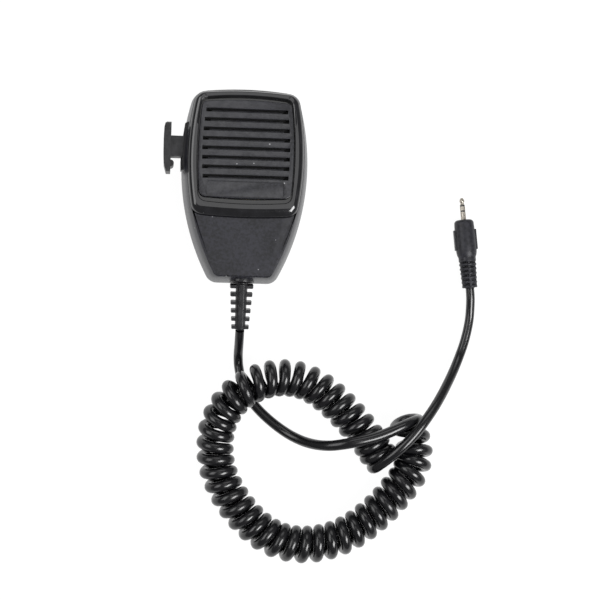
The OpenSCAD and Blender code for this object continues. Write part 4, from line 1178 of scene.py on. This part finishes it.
RIB = ((0, 0.2), (5.5, 0.2), (5.64, 0.26), (5.7, 0.4), (5.7, 1.6), (5.64, 1.74), (5.5, 1.8), (0, 1.8))
tail_ribs = rib_row("tail_ribs", RIB, relief_rubber, on_tail, flat=RIB_Z, Rib_Count=RIB_COUNT,
                    First=FIRST_RIB * MM, Pitch=RIB_PITCH * MM, Last_Scale=LAST_RIB)
TAIL_CORE = ((0, 0), (2.9, 0), (2.55, 23.2), (2.4, 23.8), (2.2, 24.0), (0, 24.0))
COLLAR = ((0, 41.5), (5.7, 41.5), (5.7, 46.2), (5.62, 46.6), (5.35, 46.9), (4.9, 47.0), (0, 47.0))
tail_core = turned("tail_core", TAIL_CORE, 64, on_tail, relief_rubber)
collar = turned("collar", COLLAR, 96, along_cord, relief_rubber)
collar_foot = block("collar_foot", (0, -44.25, 11.4, 5.5), 0.3, 15.3, 21.0, relief_rubber)
collar_key = block("collar_key", (0, -40.7, 14.6, 1.6), 0.3, 16.0, 25.0, relief_rubber)
spine = block("spine", (0, 0, 2.6, 8.2), 0.4, 0.5, 22.5, relief_rubber, on_tail)
strain_relief = joined("ribbed_relief", tail_ribs, tail_core, collar, collar_foot, collar_key, spine)
soften(strain_relief, 0)
fit(strain_relief, "strain_relief")
dress("cord_end", jacket)

# ---------------------------------------------------------------------------------------------
# Plug: a slim satin PVC body moulded onto the cord, with a grip on each side and a ribbed tail. The
# pin's three contacts are nickel-plated brass on a black insulating core.
PLUG_AT = Vector((114.5, -45.5, 5.3)) * MM
PLUG_TURN = math.radians(6.5)
TAIL_END = 15.3
PIN_FOOT = 34.3
PIN_L = 11.0
PLUG_R = 5.15
TAIL_FLARE = 0.13
SHOULDER_R = 1.8
lying_down = Matrix.Rotation(-math.pi / 2, 4, "X")
on_plug = Matrix.Translation(PLUG_AT) @ Matrix.Rotation(PLUG_TURN, 4, "Z") @ lying_down
plug_plastic = plastic("plug_plastic", (0.006, 0.006, 0.008), (0.36, 0.48), 3200.0, 0.00002, edge_wear_and_sheen=0.4,
                       lint=0.4, contrast=3.0, Specular_IOR_Level=0.35)
core_plastic = plastic("core_plastic", (0.012, 0.012, 0.013), (0.15, 0.25), 900.0, 0.00001, edge_wear_and_sheen=0.0,
                       lint=0.0)
contact_nickel = metal("contact_nickel", (0.46, 0.43, 0.38), 0.4, 500.0, (0.34, 0.46),
                       ((0.5, 0.465, 0.41), (0.42, 0.385, 0.335)), (1.0, 14.0, 1.0), (0.06, 0.00001),
                       Specular_Tint=(0.5, 0.45, 0.38, 1.0))

shoulder = PIN_FOOT - SHOULDER_R
body_profile = [tuple(p) for p in through([Vector(p) for p in (
    (PLUG_R - 0.9, TAIL_END), (PLUG_R - 0.3, TAIL_END + 1.6), (PLUG_R, TAIL_END + 4.4),
    (PLUG_R - 0.05, PIN_FOOT - 8), (PLUG_R - 0.3, shoulder))], 5)]
body_profile += arc((PLUG_R - 0.3 - SHOULDER_R, shoulder), SHOULDER_R, 0.0, math.pi / 2, 6)[1:]
body_profile = [(0, TAIL_END)] + body_profile + [(1.3, PIN_FOOT), (1.3, PIN_FOOT - 0.4), (0, PIN_FOOT - 0.4)]
barrel_part = turned("plug_barrel", body_profile, 96, on_plug, plug_plastic)
PLUG_RIB = ((0, 0), (3.55, 0), (3.72, 0.12), (3.78, 0.3), (3.78, 0.95), (3.72, 1.1), (3.55, 1.2), (0, 1.2))
PLUG_TAIL = ((0, 0), (2.2, 0), (2.3, 0.1), (2.3, 0.9), (1.7, 1.1), (1.7, 13.3), (4.1, 13.3), (4.3, 13.6),
             (4.3, 15.8), (0, 15.8))
plug_ribs = rib_row("plug_ribs", PLUG_RIB, plug_plastic, on_plug, Rib_Count=RIB_COUNT, First=0.3 * MM,
                    Pitch=2.2 * MM, Last_Scale=1 + TAIL_FLARE)
plug_tail = turned("plug_tail", PLUG_TAIL, 64, on_plug, plug_plastic)
plug_web = block("plug_web", (0, 0, 7.1, 2.6), 0.8, 0.4, 15.6, plug_plastic)
for corner in plug_web.data.vertices:
    corner.co.x *= 1 + TAIL_FLARE * corner.co.z / (TAIL_END * MM)
plug_web.data.transform(on_plug)
plug_spine = block("plug_spine", (0, 0, 1.2, 7.8), 0.3, 0.3, 15.6, plug_plastic, on_plug)
grips = [block("grip", (side * (PLUG_R - 0.4), 0, 1.8, 3.2), 0.4, TAIL_END + 4, TAIL_END + 14, plug_plastic,
               on_plug) for side in (-1, 1)]
plug_body = joined("plug_moulding", barrel_part, plug_ribs, plug_tail, plug_web, plug_spine, *grips)
soften(plug_body, 0.1 * MM)
fit(plug_body, "plug_body")


def pin_part(node, name, profile, finish):
    """A part of the pin, turned from its profile."""
    part = turned(name, profile, 64, on_plug, finish)
    soften(part, 0)
    fit(part, node)


PIN_R = 1.25
PIN_BORE = 0.83
pin_top = PIN_FOOT + PIN_L
contact_ends = {"plug_sleeve": (PIN_FOOT - 0.3, pin_top - 6.95), "plug_ring": (pin_top - 6.35, pin_top - 4.2)}
for node, (low_end, high_end) in contact_ends.items():
    pin_part(node, node + "_contact", (
        (PIN_BORE, low_end), (PIN_R - 0.06, low_end), (PIN_R, low_end + 0.06), (PIN_R, high_end - 0.06),
        (PIN_R - 0.06, high_end), (PIN_BORE, high_end), (PIN_BORE, low_end)), contact_nickel)
tip_rows = [(PIN_R - 0.05, pin_top - 3.6), (PIN_R - 0.45, pin_top - 2.7), (PIN_R - 0.05, pin_top - 1.7),
            (PIN_R - 0.4, pin_top - 0.5), (PIN_R - 0.9, pin_top)]
tip_profile = [tuple(p) for p in through([Vector(p) for p in tip_rows], 6)]
tip_profile = [(0, pin_top - 3.35), (PIN_BORE, pin_top - 3.35), (PIN_BORE, pin_top - 3.6)] + tip_profile
pin_part("plug_tip", "plug_tip_contact", tip_profile + [(0, pin_top)], contact_nickel)
core_profile = [(0, PIN_FOOT - 6), (0.8, PIN_FOOT - 6)]
for back in (6.65, 3.9):
    core_profile += [(0.8, pin_top - back - 0.3), (PIN_R - 0.04, pin_top - back - 0.3),
                     (PIN_R - 0.04, pin_top - back + 0.3), (0.8, pin_top - back + 0.3)]
core_profile += [(0.8, pin_top - 3.4), (0, pin_top - 3.4)]
pin_part("plug_core", "plug_core_moulding", core_profile, core_plastic)
